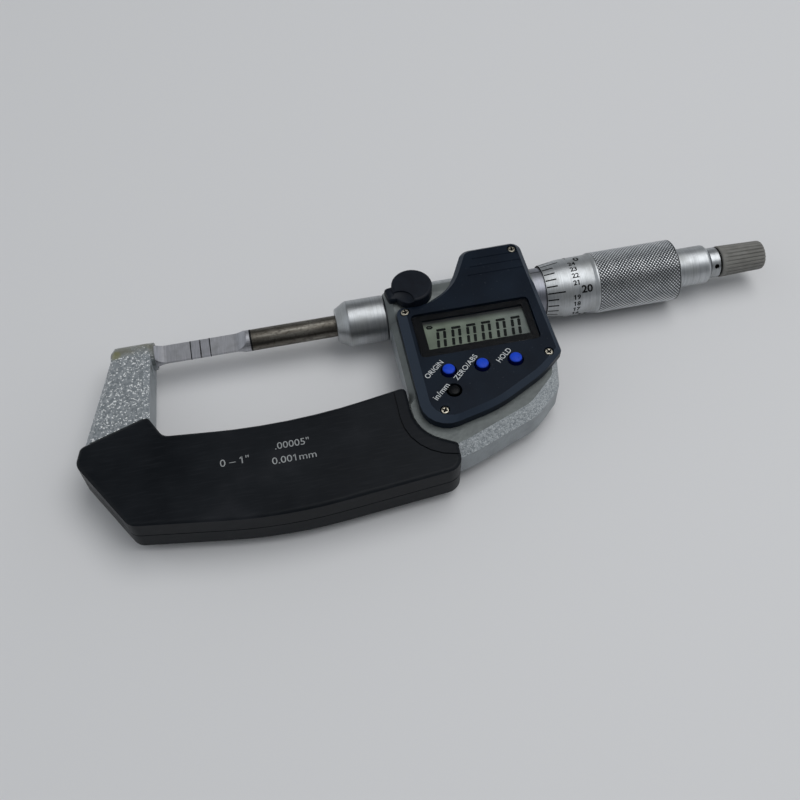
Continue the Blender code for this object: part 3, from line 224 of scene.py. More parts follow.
def coverPlastic():
    # Moulded black ABS, handled for years: a fine grain, with paler rubbed patches.
    material, shader, place = newMaterial("black_moulded_abs", "#141618", 0.0, 0.42)
    shader.inputs["Specular IOR Level"].default_value = 0.1  # hazed gloss
    rubbed = addNode(material, "ShaderNodeTexNoise",
                     {"Vector": place, "Scale": 1 / 18.0, "Detail": 4.0}).outputs["Fac"]
    strokes = addNode(material, "ShaderNodeMapping",  # wiped along the bow, in streaks
                      {"Vector": place, "Scale": (1 / 6.0, 1 / 0.5, 1 / 2.0)}).outputs["Vector"]
    wiped = addNode(material, "ShaderNodeTexNoise",
                    {"Vector": strokes, "Scale": 1.0, "Detail": 3.0}).outputs["Fac"]
    worn = addNode(material, "ShaderNodeValToRGB", {"Fac": rubbed},
                   [(0.35, "#101317"), (0.6, "#181b1f"), (0.75, "#212327")]).outputs["Color"]
    wipe = addNode(material, "ShaderNodeMapRange", {
        "Value": wiped, "From Min": 0.5, "From Max": 0.75, "To Max": 0.35}).outputs["Result"]
    worn = addNode(material, "ShaderNodeMix", {0: wipe, 6: worn, 7: linear("#282a2e")},
                   data_type="RGBA").outputs[2]
    gloss = addNode(material, "ShaderNodeMapRange", {
        "Value": rubbed, "From Min": 0.3, "From Max": 0.7, "To Min": 0.34,
        "To Max": 0.44}).outputs["Result"]
    drive(material, shader, {"Base Color": worn, "Roughness": gloss,
                             "Normal": moulding(material, place, 0.25, 0.02, 0.25)})
    return material


def casePlastic():
    # Moulded navy ABS with a fine matt grain and a few pale specks of dust; its bevels are
    #     # painted paler, a painted highlight.
    material, shader, place = newMaterial("navy_moulded_abs", "#0e1621", 0.0, 0.36)
    shader.inputs["Specular IOR Level"].default_value = 0.1  # hazed gloss
    cloud, dust = (
        addNode(material, "ShaderNodeTexNoise",
                {"Vector": place, "Scale": 1 / size, "Detail": detail}).outputs["Fac"]
        for size, detail in ((11.0, 4.0), (0.7, 1.0)))
    up = lookingUp(material)
    specks, tilted, notFlat = (
        addNode(material, "ShaderNodeMapRange", {
            "Value": source, "From Min": none, "From Max": full, "To Max": most}).outputs["Result"]
        for source, none, full, most in ((dust, 0.72, 0.76, 0.35), (up, 0.6, 0.75, 0.8),
                                         (up, 0.99, 0.93, 1.0)))
    # a painted highlight: the bevels round the face, which look partly up, are painted paler
    edge = addNode(material, "ShaderNodeMath", {0: tilted, 1: notFlat},
                   operation="MULTIPLY").outputs[0]
    tint = addNode(material, "ShaderNodeValToRGB", {"Fac": cloud},
                   [(0.35, "#0e1621"), (0.7, "#141e2a")]).outputs["Color"]
    for share, colour in ((specks, "#3f444a"), (edge, "#333c48")):
        tint = addNode(material, "ShaderNodeMix", {0: share, 6: tint, 7: linear(colour)},
                       data_type="RGBA").outputs[2]
    drive(material, shader, {"Base Color": tint,
                             "Normal": moulding(material, place, 0.22, 0.015, 0.2)})
    return material


def turnedChrome(name, colour, pale, roughness):
    # Satin chrome plating on turned steel: faint rings round the axis and cloudy finger marks.
    material, shader, place = newMaterial(name, colour, 1.0, roughness)
    cuts = addNode(material, "ShaderNodeMapping",
                   {"Vector": place, "Scale": (1 / 0.16, 1 / 9.0, 1 / 9.0)}).outputs["Vector"]
    rings = addNode(material, "ShaderNodeTexNoise",
                    {"Vector": cuts, "Scale": 1.0, "Detail": 2.0}).outputs["Fac"]
    cloud = addNode(material, "ShaderNodeTexNoise",
                    {"Vector": place, "Scale": 1 / 5.0, "Detail": 4.0}).outputs["Fac"]
    tint = addNode(material, "ShaderNodeValToRGB", {"Fac": rings},
                   [(0.3, colour), (0.7, pale)]).outputs["Color"]
    smear = addNode(material, "ShaderNodeMapRange", {
        "Value": cloud, "From Min": 0.45, "From Max": 0.7, "To Max": 0.4}).outputs["Result"]
    tint = addNode(material, "ShaderNodeMix", {0: smear, 6: tint, 7: linear("#8b8c88")},
                   data_type="RGBA").outputs[2]
    gloss = addNode(material, "ShaderNodeMapRange", {
        "Value": cloud, "From Min": 0.3, "From Max": 0.7, "To Min": roughness - 0.05,
        "To Max": roughness + 0.08}).outputs["Result"]
    relief = addNode(material, "ShaderNodeBump", {
        "Height": rings, "Distance": 0.01 * mm, "Strength": 0.25}).outputs["Normal"]
    drive(material, shader, {"Base Color": tint, "Roughness": gloss, "Normal": relief})
    return material


def tarnishedSteel():
    # Hardened ground steel gone brown with age: dark and olive streaks along the spindle.
    material, shader, place = newMaterial("tarnished_tool_steel", "#5a5650", 1.0, 0.4)
    along = addNode(material, "ShaderNodeMapping",
                    {"Vector": place, "Scale": (1 / 9.0, 1 / 0.9, 1 / 0.9)}).outputs["Vector"]
    streaks = addNode(material, "ShaderNodeTexNoise",
                      {"Vector": along, "Scale": 1.0, "Detail": 5.0}).outputs["Fac"]
    spots = addNode(material, "ShaderNodeTexNoise",
                    {"Vector": place, "Scale": 1 / 0.9, "Detail": 4.0}).outputs["Fac"]
    tint = addNode(material, "ShaderNodeValToRGB", {"Fac": streaks},
                   [(0.3, "#4a4741"), (0.5, "#66625b"), (0.7, "#87847d")]).outputs["Color"]
    spotted = addNode(material, "ShaderNodeMapRange", {
        "Value": spots, "From Min": 0.5, "From Max": 0.72, "To Max": 0.6}).outputs["Result"]
    tint = addNode(material, "ShaderNodeMix", {0: spotted, 6: tint, 7: linear("#35322c")},
                   data_type="RGBA").outputs[2]
    gloss = addNode(material, "ShaderNodeMapRange", {
        "Value": spots, "From Min": 0.35, "From Max": 0.7, "To Min": 0.34,
        "To Max": 0.5}).outputs["Result"]
    drive(material, shader, {"Base Color": tint, "Roughness": gloss})
    return material


def groundSteel(name, colour, pale, roughness):
    # Hardened steel finished on a surface grinder: fine lines straight across the blade.
    material, shader, place = newMaterial(name, colour, 1.0, roughness)
    across = addNode(material, "ShaderNodeMapping",
                     {"Vector": place, "Scale": (1 / 0.12, 1 / 6.0, 1 / 6.0)}).outputs["Vector"]
    lines = addNode(material, "ShaderNodeTexNoise",
                    {"Vector": across, "Scale": 1.0, "Detail": 3.0}).outputs["Fac"]
    cloud = addNode(material, "ShaderNodeTexNoise",
                    {"Vector": place, "Scale": 1 / 3.0, "Detail": 3.0}).outputs["Fac"]
    tint = addNode(material, "ShaderNodeValToRGB", {"Fac": lines},
                   [(0.3, colour), (0.7, pale)]).outputs["Color"]
    dulled = addNode(material, "ShaderNodeMapRange", {
        "Value": cloud, "From Min": 0.5, "From Max": 0.75, "To Max": 0.35}).outputs["Result"]
    tint = addNode(material, "ShaderNodeMix", {0: dulled, 6: tint, 7: linear("#7d7d7b")},
                   data_type="RGBA").outputs[2]
    relief = addNode(material, "ShaderNodeBump", {
        "Height": lines, "Distance": 0.01 * mm, "Strength": 0.35}).outputs["Normal"]
    drive(material, shader, {"Base Color": tint, "Normal": relief})
    return material


def mouldedPlastic(name, colour, pale, roughness):
    # Plain moulded plastic, rubber or ink with a fine grain and a little soiling.
    material, shader, place = newMaterial(name, colour, 0.0, roughness)
    shader.inputs["Specular IOR Level"].default_value = 0.15
    cloud = addNode(material, "ShaderNodeTexNoise",
                    {"Vector": place, "Scale": 1 / 2.4, "Detail": 4.0}).outputs["Fac"]
    tint = addNode(material, "ShaderNodeValToRGB", {"Fac": cloud},
                   [(0.35, colour), (0.68, pale)]).outputs["Color"]
    drive(material, shader, {"Base Color": tint,
                             "Normal": moulding(material, place, 0.3, 0.02, 0.2)})
    return material


def knurledChrome():
    # The same chrome over a rolled diamond knurl: the points painted bright, a painted highlight,
    #     # and the grooves painted black, painted shade.
    material, shader, place = newMaterial("satin_chrome_knurl", "#a4a7a9", 1.0, 0.36)
    where = addNode(material, "ShaderNodeSeparateXYZ", {"Vector": place}).outputs
    ring = addNode(material, "ShaderNodeCombineXYZ", {"Y": where["Y"], "Z": where["Z"]}).outputs[0]
    radius = addNode(material, "ShaderNodeVectorMath", {0: ring},
                     operation="LENGTH").outputs["Value"]
    cloud = addNode(material, "ShaderNodeTexNoise",
                    {"Vector": place, "Scale": 1 / 3.0, "Detail": 3.0}).outputs["Fac"]
    paintedBrightTips = addNode(material, "ShaderNodeValToRGB", {"Fac": cloud},
                    [(0.35, "#ced1d4"), (0.7, "#e4e6e8")]).outputs["Color"]
    # painted light: the points get a brighter metal and the grooves go black
    point = addNode(material, "ShaderNodeMapRange", {
        "Value": radius, "From Min": 9.02, "From Max": 9.24}).outputs["Result"]
    tint = addNode(material, "ShaderNodeMix", {0: point, 6: linear("#090a0b"), 7: paintedBrightTips},
                   data_type="RGBA").outputs[2]
    drive(material, shader, {"Base Color": tint})
    return material


def buttonPlastic(name, topColour, sideColour):
    # Moulded translucent acrylic: the flat top is lit, the flanks go down into the dark.
    material, shader, place = newMaterial(name, topColour, 0.0, 0.3)
    shader.inputs["Specular IOR Level"].default_value = 0.12
    cloud = addNode(material, "ShaderNodeTexNoise",
                    {"Vector": place, "Scale": 1 / 0.8, "Detail": 3.0}).outputs["Fac"]
    upward = addNode(material, "ShaderNodeMapRange", {
        "Value": lookingUp(material), "From Min": 0.55, "From Max": 0.97}).outputs["Result"]
    tint = addNode(material, "ShaderNodeMix", {
        0: upward, 6: linear(sideColour), 7: linear(topColour)}, data_type="RGBA").outputs[2]
    soiled = addNode(material, "ShaderNodeMapRange", {
        "Value": cloud, "From Min": 0.45, "From Max": 0.75, "To Max": 0.25}).outputs["Result"]
    tint = addNode(material, "ShaderNodeMix", {0: soiled, 6: tint, 7: linear(sideColour)},
                   data_type="RGBA").outputs[2]
    drive(material, shader, {"Base Color": tint})
    return material


def displayGlass():
    # Reflective liquid-crystal glass: grey-green, paler to the right, in the bezel's shade along
    # its top and at its right end.
    material, shader, place = newMaterial("liquid_crystal_glass", "#7f8a7b", 0.0, 0.35)
    cloud = addNode(material, "ShaderNodeTexNoise",
                    {"Vector": place, "Scale": 1 / 9.0, "Detail": 2.0}).outputs["Fac"]
    where = addNode(material, "ShaderNodeSeparateXYZ", {"Vector": place}).outputs
    along, clouded, shade = (
        addNode(material, "ShaderNodeMapRange", {
            "Value": source, "From Min": none, "From Max": full, "To Max": most}).outputs["Result"]
        for source, none, full, most in ((where["X"], 64.0, 95.0, 1.0), (cloud, 0.4, 0.7, 0.3),
                                         (where["Y"], -13.2, -11.3, 1.0)))
    tint = addNode(material, "ShaderNodeValToRGB", {"Fac": along}, [
        (0.0, "#828f7d"), (0.6, "#7a8678"), (0.9, "#858e89"), (1.0, "#545c5a")]).outputs["Color"]
    for share, colour in ((clouded, "#8c988a"), (shade, "#0c1014")):
        tint = addNode(material, "ShaderNodeMix", {0: share, 6: tint, 7: linear(colour)},
                       data_type="RGBA").outputs[2]
    drive(material, shader, {"Base Color": tint})
    return material


def clearAcrylic():
    # Clear acrylic sheet: nearly all of it lets the display through, the rest is its gloss.
    material, shader, place = newMaterial("clear_acrylic", "#0c1012", 0.0, 0.12)
    haze = addNode(material, "ShaderNodeTexNoise",
                   {"Vector": place, "Scale": 1 / 6.0, "Detail": 4.0}).outputs["Fac"]
    film = addNode(material, "ShaderNodeMapRange", {
        "Value": haze, "From Min": 0.35, "From Max": 0.75, "To Min": 0.06,
        "To Max": 0.16}).outputs["Result"]
    drive(material, shader, {"Alpha": film})
    return material


hammertone = hammertonePaint()
blackAbs = coverPlastic()
navyAbs = casePlastic()
thimbleChrome = turnedChrome("satin_chrome_thimble", "#abaeb1", "#c5c8ca", 0.44)
sleeveChrome = turnedChrome("satin_chrome_sleeve", "#85878f", "#9c9ea8", 0.42)
collarChrome = turnedChrome("satin_chrome_collar", "#a2a5a8", "#b9bcbe", 0.36)
spindleSteel = tarnishedSteel()
bladeSteel = groundSteel("surface_ground_steel", "#a4a5aa", "#bebfc4", 0.5)
tipCarbide = groundSteel("ground_carbide", "#a2a3aa", "#bbbcc2", 0.48)
insideSteel = groundSteel("turned_steel_inside", "#8c8e90", "#a8aaac", 0.35)
knobAbs = mouldedPlastic("black_knob_abs", "#0d121b", "#131922", 0.45)
ratchetAbs = mouldedPlastic("grey_ratchet_abs", "#757470", "#82817d", 0.55)
buttonAbs = buttonPlastic("blue_button_acrylic", "#1c47cb", "#02083a")
unitAbs = buttonPlastic("black_button_acrylic", "#05070b", "#010202")
knurlChrome = knurledChrome()
bezelInk = mouldedPlastic("black_screen_ink", "#06080c", "#090b10", 0.3)
lcdGlass = displayGlass()
segmentInk = mouldedPlastic("liquid_crystal_segment", "#0c1010", "#121615", 0.4)
labelInk = mouldedPlastic("pale_label_ink", "#ccd0d1", "#dcdfe0", 0.6)
coverInk = mouldedPlastic("grey_range_ink", "#8e9192", "#a2a5a5", 0.6)
scaleInk = mouldedPlastic("black_scale_enamel", "#0b0c0e", "#141517", 0.5)
acrylic = clearAcrylic()
screwNickel = groundSteel("nickel_plated_screw", "#a9a496", "#c6c1b2", 0.3)
# painted shade: black for recesses and gaps, where shade falls
recessShade = mouldedPlastic("black_painted_shade", "#050505", "#0b0a09", 0.6)
batteryCan = groundSteel("nickel_battery_can", "#a6a6a4", "#bcbcb9", 0.28)
springSteel = groundSteel("spring_steel_wire", "#8a8a88", "#a2a2a0", 0.34)
boardLaminate = mouldedPlastic("green_circuit_laminate", "#123d22", "#184a2b", 0.5)
siliconeRubber = mouldedPlastic("black_silicone_rubber", "#141414", "#1c1c1c", 0.7)
print("materials ready")

# the inner nodes keep their CAD meshes
innerFinish = {
    "spindle_guide": insideSteel, "spindle_key": insideSteel, "clamp_shaft": insideSteel,
    "encoder_stator": boardLaminate, "encoder_rotor": batteryCan, "adjusting_nut": insideSteel,
    "spindle_screw": insideSteel, "ratchet_clutch": insideSteel, "ratchet_spring": springSteel,
    "circuit_board": boardLaminate, "lcd_connectors": siliconeRubber, "button_mat": siliconeRubber,
    "battery": batteryCan, "battery_contact": springSteel, "anvil": bladeSteel,
    "anvil_tip": tipCarbide, "spindle_tip": tipCarbide, "spindle_blade": bladeSteel,
    "lcd_panel": lcdGlass, "ratchet_bolt": insideSteel,
}
for nodeName, material in innerFinish.items():
    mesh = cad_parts[nodeName].data
    mesh.materials.clear()
    mesh.materials.append(material)


# modelling helpers
runningGap = 0.3 * mm  # between a turned part and what slides or turns in it


# a finished piece: its mesh goes to the instrument's place and rides on a body
def keep(bm, name, material, body, replaced=(), sharp=35):
    bmesh.ops.translate(bm, vec=axisPlace, verts=bm.verts)
    mesh = bpy.data.meshes.new(name)
    bm.to_mesh(mesh)
    bm.free()
    mesh.materials.append(material)
    mesh.shade_smooth()
    mesh.set_sharp_from_angle(angle=math.radians(sharp))
    piece = bpy.data.objects.new(name, mesh)
    scene.collection.objects.link(piece)
    normals = piece.modifiers.new("Normals", "WEIGHTED_NORMAL")
    normals.keep_sharp = True
    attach(piece, body)
    if replaced:
        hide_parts(*replaced)
    return piece


# rounds the edges that are sharper than an angle
def soften(bm, width, angle=28, segments=2, where=None):
    edges = [e for e in bm.edges if len(e.link_faces) == 2
             and e.calc_face_angle(0.0) > math.radians(angle) and (where is None or where(e))]
    bmesh.ops.bevel(bm, geom=edges, offset=width, offset_type="OFFSET", segments=segments,
                    profile=0.5, affect="EDGES", clamp_overlap=True, material=-1)


# a body turned round the measuring line from (station, radius) points in metres
def turn(profile, sides=96, hollow=False):
    bm = bmesh.new()
    verts = [bm.verts.new((x, 0.0, radius)) for x, radius in profile]
    edges = [bm.edges.new(pair) for pair in zip(verts, verts[1:])]
    if hollow:
        edges.append(bm.edges.new((verts[-1], verts[0])))
    bmesh.ops.spin(bm, geom=verts + edges, cent=(0, 0, 0), axis=(1, 0, 0), angle=2 * math.pi,
                   steps=sides, use_merge=True, use_duplicate=False)
    bmesh.ops.remove_doubles(bm, verts=bm.verts, dist=0.001 * mm)
    bmesh.ops.recalc_face_normals(bm, faces=bm.faces)
    return bm


# a merged copy of a CAD node's mesh, at the instrument's own place
def copied(node):
    bm = bmesh.new()
    bm.from_mesh(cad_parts[node].data)
    bmesh.ops.remove_doubles(bm, verts=bm.verts, dist=0.002 * mm)
    bmesh.ops.dissolve_degenerate(bm, edges=bm.edges, dist=0.002 * mm)
    bmesh.ops.dissolve_limit(bm, angle_limit=math.radians(1.0), verts=bm.verts, edges=bm.edges)
    bmesh.ops.translate(bm, vec=-axisPlace, verts=bm.verts)
    return bm


# an object's mesh with its modifiers or its text made real
def finished(thing):
    bpy.context.view_layer.update()
    view = bpy.context.evaluated_depsgraph_get()
    return bpy.data.meshes.new_from_object(thing.evaluated_get(view))


# frame casting and covers
casting = {"edge": 0.35 * mm}
bm = copied("frame")
soften(bm, casting["edge"])
keep(bm, "frame_casting", hammertone, "frame_body", ["frame"])


# a moulded edge: the chamfer's inner edge is rounded wide, the other edges a little
def mould(bm, rim, edge):
    outer = max(abs(v.co.z) for v in bm.verts)
    chamferTurn = math.radians(62)  # more than the chamfer turns at its inner edge
    soften(bm, rim, segments=4, where=lambda e: e.calc_face_angle(0.0) < chamferTurn
           and all(abs(v.co.z) > outer - 0.05 * mm for v in e.verts))
    soften(bm, edge, 40, where=lambda e: e.calc_face_angle(0.0) > chamferTurn
           or min(abs(v.co.z) for v in e.verts) < outer - 0.3 * mm)


covers = {"rim": 0.75 * mm, "edge": 0.12 * mm}
for side in ("front", "rear"):
    bm = copied(f"{side}_cover")
    mould(bm, covers["rim"], covers["edge"])
    keep(bm, f"{side}_bow_cover", blackAbs, "frame_body", [f"{side}_cover"])
print("frame and covers made")

# display case, rear case, clamp knob, battery cap: name, material, body, rim and edge
moulded = {
    "display_case": ("display_housing", navyAbs, "frame_body", 0.8 * mm, 0.2 * mm),
    "rear_case": ("rear_housing", navyAbs, "frame_body", 0.3 * mm, 0.2 * mm),
    "clamp_knob": ("spindle_clamp_knob", knobAbs, "clamp_body", 0.3 * mm, 0.25 * mm),
    "battery_cap": ("battery_hatch", navyAbs, "battery_cap_body", 0.15 * mm, 0.15 * mm),
}
for node, (name, material, body, rim, edge) in moulded.items():
    bm = copied(node)
    mould(bm, rim, edge)
    keep(bm, name, material, body, [node])
print("housing made")

# nose collar
collar = {"round": 0.35 * mm, "cone": 3.5 * mm, "frontRadius": 4.9 * mm, "lip": 1.6 * mm}
low, high = local("nose_collar")
guideHigh = local("spindle_guide")[1]
boreRadius = local("spindle")[1].z + runningGap
innerRadius = guideHigh.z + runningGap
bm = turn([
    (high.x, high.z), (low.x + collar["cone"], high.z), (low.x, collar["frontRadius"]),
    (low.x, boreRadius), (low.x + collar["lip"], boreRadius), (low.x + collar["lip"], innerRadius),
    (high.x, innerRadius),
], hollow=True)
soften(bm, collar["round"], 20, 3)
keep(bm, "nose_collar_turned", collarChrome, "frame_body", ["nose_collar"])

# fixed sleeve
sleeve = {"neckRadius": 5.4 * mm, "neck": 13.0 * mm}
low, high = local("fixed_sleeve")
sleeveBore = local("spindle_screw")[1].z + runningGap
bm = turn([
    (high.x, sleeve["neckRadius"]), (high.x - sleeve["neck"], sleeve["neckRadius"]),
    (high.x - sleeve["neck"], high.z), (low.x, high.z), (low.x, sleeveBore), (high.x, sleeveBore),
], 128, hollow=True)
keep(bm, "index_sleeve", sleeveChrome, "frame_body", ["fixed_sleeve"])


ink = {"depth": 0.04 * mm, "proud": 0.012 * mm}  # of a mark on a turned body


# an inked line along a turned body: start, length and width, on a cone of a radius and a slope
def inkedLine(bm, start, length, width, radius, tilt, angle):
    line = bmesh.ops.create_cube(bm, size=1.0)["verts"]
    bmesh.ops.scale(bm, vec=(length, width, ink["depth"]), verts=line)
    bmesh.ops.translate(bm, vec=(length / 2, 0, ink["proud"] - ink["depth"] / 2), verts=line)
    bmesh.ops.rotate(bm, cent=(0, 0, 0), matrix=Matrix.Rotation(-tilt, 3, "Y"), verts=line)
    bmesh.ops.translate(bm, vec=(start, 0, radius), verts=line)
    bmesh.ops.rotate(bm, cent=(0, 0, 0), matrix=Matrix.Rotation(angle - math.pi / 2, 3, "X"),
                     verts=line)


indexLine = {"start": 100.6 * mm, "length": 4.2 * mm, "width": 0.26 * mm, "angle": 75.0}
bm = bmesh.new()
inkedLine(bm, indexLine["start"], indexLine["length"], indexLine["width"], high.z, 0.0,
          math.radians(indexLine["angle"]))
keep(bm, "sleeve_index_line", scaleInk, "frame_body")

# spindle, and the dark line round its front
bm = copied("spindle")
keep(bm, "tarnished_spindle", spindleSteel, "spindle_body", ["spindle"], 40)

seam = {"start": -0.25 * mm, "width": 0.5 * mm, "proud": 0.02 * mm, "depth": 0.05 * mm}
low, high = local("spindle")
bm = turn([
    (low.x + seam["start"], high.z - seam["depth"]),
    (low.x + seam["start"], high.z + seam["proud"]),
    (low.x + seam["start"] + seam["width"], high.z + seam["proud"]),
    (low.x + seam["start"] + seam["width"], high.z - seam["depth"]),
], hollow=True)
keep(bm, "spindle_seam_ring", scaleInk, "spindle_body")
print("turned parts made")

# dark brazed joints behind the carbide tips, and painted shade on the edges where the blades meet
joints = {"width": 0.3 * mm, "meeting": 0.14 * mm, "proud": 0.015 * mm}
for tip, body, side in (("anvil_tip", "frame_body", -1), ("spindle_tip", "spindle_body", 1)):
    low, high = local(tip)
    far = low.x if side < 0 else high.x
    near = high.x if side < 0 else low.x
    for name, start, width in (
            ("joint", far - joints["width"] / 2, joints["width"]),
            ("edge", near + min(side, 0) * joints["meeting"], joints["meeting"])):
        bm = bmesh.new()
        bmesh.ops.create_cube(bm, size=1.0)
        bmesh.ops.scale(bm, vec=(width, high.y - low.y + 2 * joints["proud"],
                                 high.z - low.z + 2 * joints["proud"]), verts=bm.verts)
        bmesh.ops.translate(bm, vec=(start + width / 2, (low.y + high.y) / 2, (low.z + high.z) / 2),
                            verts=bm.verts)
        keep(bm, f"{tip}_{name}", scaleInk, body)

# thimble: graduated bevel, barrel, knurled grip
grip = {
    "bevel": 6.2 * mm, "bevelRadius": 8.8 * mm, "barrel": 8.65 * mm, "barrelRadius": 8.9 * mm,
    "shoulder": 0.8 * mm, "land": 0.5 * mm, "chamfer": 0.3 * mm, "back": 2.2 * mm,
    "wall": 0.3 * mm, "coreRadius": 8.6 * mm, "rootRadius": 9.0 * mm,
    "round": 51, "rows": 25,  # diamonds round the grip and along it
    "diamondHeight": 0.3 * mm, "diamondSide": 0.26 * mm,
    "tailRadius": 3.4 * mm,  # of the spindle screw's tail, which carries the hub
}
low, high = local("thimble")
edgeX, endX, gripRadius = low.x, high.x, high.z
bevelEnd = edgeX + grip["bevel"]
barrelEnd = bevelEnd + grip["barrel"]
knurlStart = barrelEnd + grip["shoulder"] + grip["land"]
knurlEnd = endX - grip["chamfer"]
thimbleBore = local("fixed_sleeve")[1].z + runningGap
tailBore = grip["tailRadius"] + runningGap
bm = turn([
    (endX, gripRadius - grip["chamfer"]), (knurlEnd, gripRadius), (knurlEnd, grip["coreRadius"]),
    (knurlStart, grip["coreRadius"]), (knurlStart, gripRadius),
    (knurlStart - grip["land"], gripRadius), (barrelEnd, grip["barrelRadius"]),
    (bevelEnd, grip["bevelRadius"]), (edgeX, thimbleBore + grip["wall"]), (edgeX, thimbleBore),
    (endX - grip["back"], thimbleBore), (endX - grip["back"], tailBore), (endX, tailBore),
], 128, hollow=True)
barrel = keep(bm, "thimble_barrel", thimbleChrome, "thimble_body", ["thimble"], 12)
barrel.data.materials.append(recessShade)
for face in barrel.data.polygons:
    station = face.center.x - axisPlace.x
    if station < edgeX + 0.01 * mm:  # painted shade along the edge's front, for the dark gap to the sleeve
        face.material_index = 1

# the knurl: a flat grid's cells are crossed, which leaves diamonds, and bent round the grip
bm = bmesh.new()
bmesh.ops.create_grid(bm, x_segments=grip["rows"], y_segments=grip["round"], size=1.0)
straight = list(bm.edges)
bmesh.ops.poke(bm, faces=bm.faces)
inside = [e for e in straight if e.is_valid and len(e.link_faces) == 2]
bmesh.ops.dissolve_edges(bm, edges=inside, use_verts=False)
knurlLength = knurlEnd - knurlStart
for vert in bm.verts:
    turnAngle = vert.co.y * math.pi
    vert.co = (knurlStart + (vert.co.x + 1) / 2 * knurlLength,
               grip["rootRadius"] * math.cos(turnAngle), grip["rootRadius"] * math.sin(turnAngle))
bmesh.ops.remove_doubles(bm, verts=bm.verts, dist=0.01 * mm)
# the diamonds that the grid's seam halves are made whole
halves = [e for e in bm.edges if all(abs(v.co.z) < 0.01 * mm for v in e.verts)]
bmesh.ops.dissolve_edges(bm, edges=halves, use_verts=False)
bmesh.ops.recalc_face_normals(bm, faces=bm.faces)
diamonds = [f for f in bm.faces if len(f.verts) == 4]
halfDiamonds = [f for f in bm.faces if len(f.verts) == 3]
bmesh.ops.inset_individual(bm, faces=diamonds, thickness=grip["diamondSide"],
                           depth=grip["diamondHeight"], use_even_offset=True)
bmesh.ops.inset_individual(bm, faces=halfDiamonds, thickness=grip["diamondSide"] / 2,
                           depth=grip["diamondHeight"] / 2, use_even_offset=True)
rims = [e for e in bm.edges if e.is_boundary]
grown = bmesh.ops.extrude_edge_only(bm, edges=rims)["geom"]
for vert in (v for v in grown if isinstance(v, bmesh.types.BMVert)):
    shrink = grip["coreRadius"] / math.hypot(vert.co.y, vert.co.z)
    vert.co.y *= shrink
    vert.co.z *= shrink
innerRims = [e for e in bm.edges if e.is_boundary]
bmesh.ops.bridge_loops(bm, edges=innerRims)
bmesh.ops.recalc_face_normals(bm, faces=bm.faces)
keep(bm, "thimble_knurl", knurlChrome, "thimble_body", sharp=15)

# graduations: 25 to a turn, a longer one at every fifth
scale = {
    "divisions": 25, "figureAtView": 20, "angleAtView": 137.2, "start": 0.15 * mm,
    "short": 3.25 * mm, "long": 5.35 * mm, "width": 0.42 * mm,
    "smallFigure": 1.5 * mm, "largeFigure": 2.3 * mm,
    "figureWeight": 0.032, "figureStretch": 1.08,  # bolder and wider than the built-in font
    "smallPlace": 8.1 * mm, "largePlace": 10.35 * mm,  # left side of a figure from the edge
}
slope = math.atan2(grip["bevelRadius"] - thimbleBore - grip["wall"], grip["bevel"])


def divisionAngle(division):
    return math.radians(scale["angleAtView"]
                        - 360 / scale["divisions"] * (division - scale["figureAtView"]))


bm = bmesh.new()
for division in range(scale["divisions"]):
    length = scale["long"] if division % 5 == 0 else scale["short"]
    inkedLine(bm, edgeX + scale["start"] * math.cos(slope), length, scale["width"],
              thimbleBore + grip["wall"] + scale["start"] * math.sin(slope), slope,
              divisionAngle(division))
keep(bm, "thimble_graduations", scaleInk, "thimble_body")


# the upright bars among a word's separate shapes
def stems(bm, height):
    left = set(bm.verts)
    found = []
    while left:
        shape, edge = set(), [left.pop()]
        while edge:
            vert = edge.pop()
            shape.add(vert)
            for link in vert.link_edges:
                other = link.other_vert(vert)
                if other in left:
                    left.discard(other)
                    edge.append(other)
        wide = max(v.co.x for v in shape) - min(v.co.x for v in shape)
        tall = max(v.co.y for v in shape) - min(v.co.y for v in shape)
        if wide < 0.3 * height and tall > 0.85 * height:
            found.append(shape)
    return found


letters = {
    "capital": 0.729,  # height of a capital in the built-in font, for a size of one
    "thickness": 0.02 * mm,
    "flagLong": 0.34, "flagWide": 0.15, "flagTilt": 0.7,  # of a 1, in heights of a figure
    "flagBack": 0.06, "flagDown": 0.15,
}


# words as a flat mesh: baseline on Y = 0, start at X = 0, height of a capital as given; the
# built-in font's 1 is a bare stem, so it gets its flag here
def lettering(words, height, weight, width=None, stretch=1.0):
    text = bpy.data.curves.new("lettering", "FONT")
    text.body = words
    text.extrude = 0.5
    text.offset = weight
    text.resolution_u = 3
    thing = bpy.data.objects.new("lettering", text)
    scene.collection.objects.link(thing)
    shaped = finished(thing)
    bm = bmesh.new()
    bm.from_mesh(shaped)
    bpy.data.objects.remove(thing)
    bpy.data.curves.remove(text)
    bpy.data.meshes.remove(shaped)
    bmesh.ops.remove_doubles(bm, verts=bm.verts, dist=0.0001)
    left = min(v.co.x for v in bm.verts)
    wide = max(v.co.x for v in bm.verts) - left
    grow = height / letters["capital"]
    bmesh.ops.translate(bm, vec=(-left, 0, 0), verts=bm.verts)
    across = width / wide if width else grow * stretch
    bmesh.ops.scale(bm, vec=(across, grow, letters["thickness"]), verts=bm.verts)
    if "1" in words:
        for stem in stems(bm, height):
            tip = max(stem, key=lambda v: v.co.y - v.co.x).co.copy()
            flag = bmesh.ops.create_cube(bm, size=1.0)["verts"]
            bmesh.ops.scale(bm, vec=(letters["flagLong"] * height, letters["flagWide"] * height,
                                     letters["thickness"]), verts=flag)
            bmesh.ops.rotate(bm, cent=(0, 0, 0), verts=flag,
                             matrix=Matrix.Rotation(letters["flagTilt"], 3, "Z"))
            bmesh.ops.translate(bm, vec=(tip.x - letters["flagBack"] * height,
                                         tip.y - letters["flagDown"] * height, 0), verts=flag)
    return bm


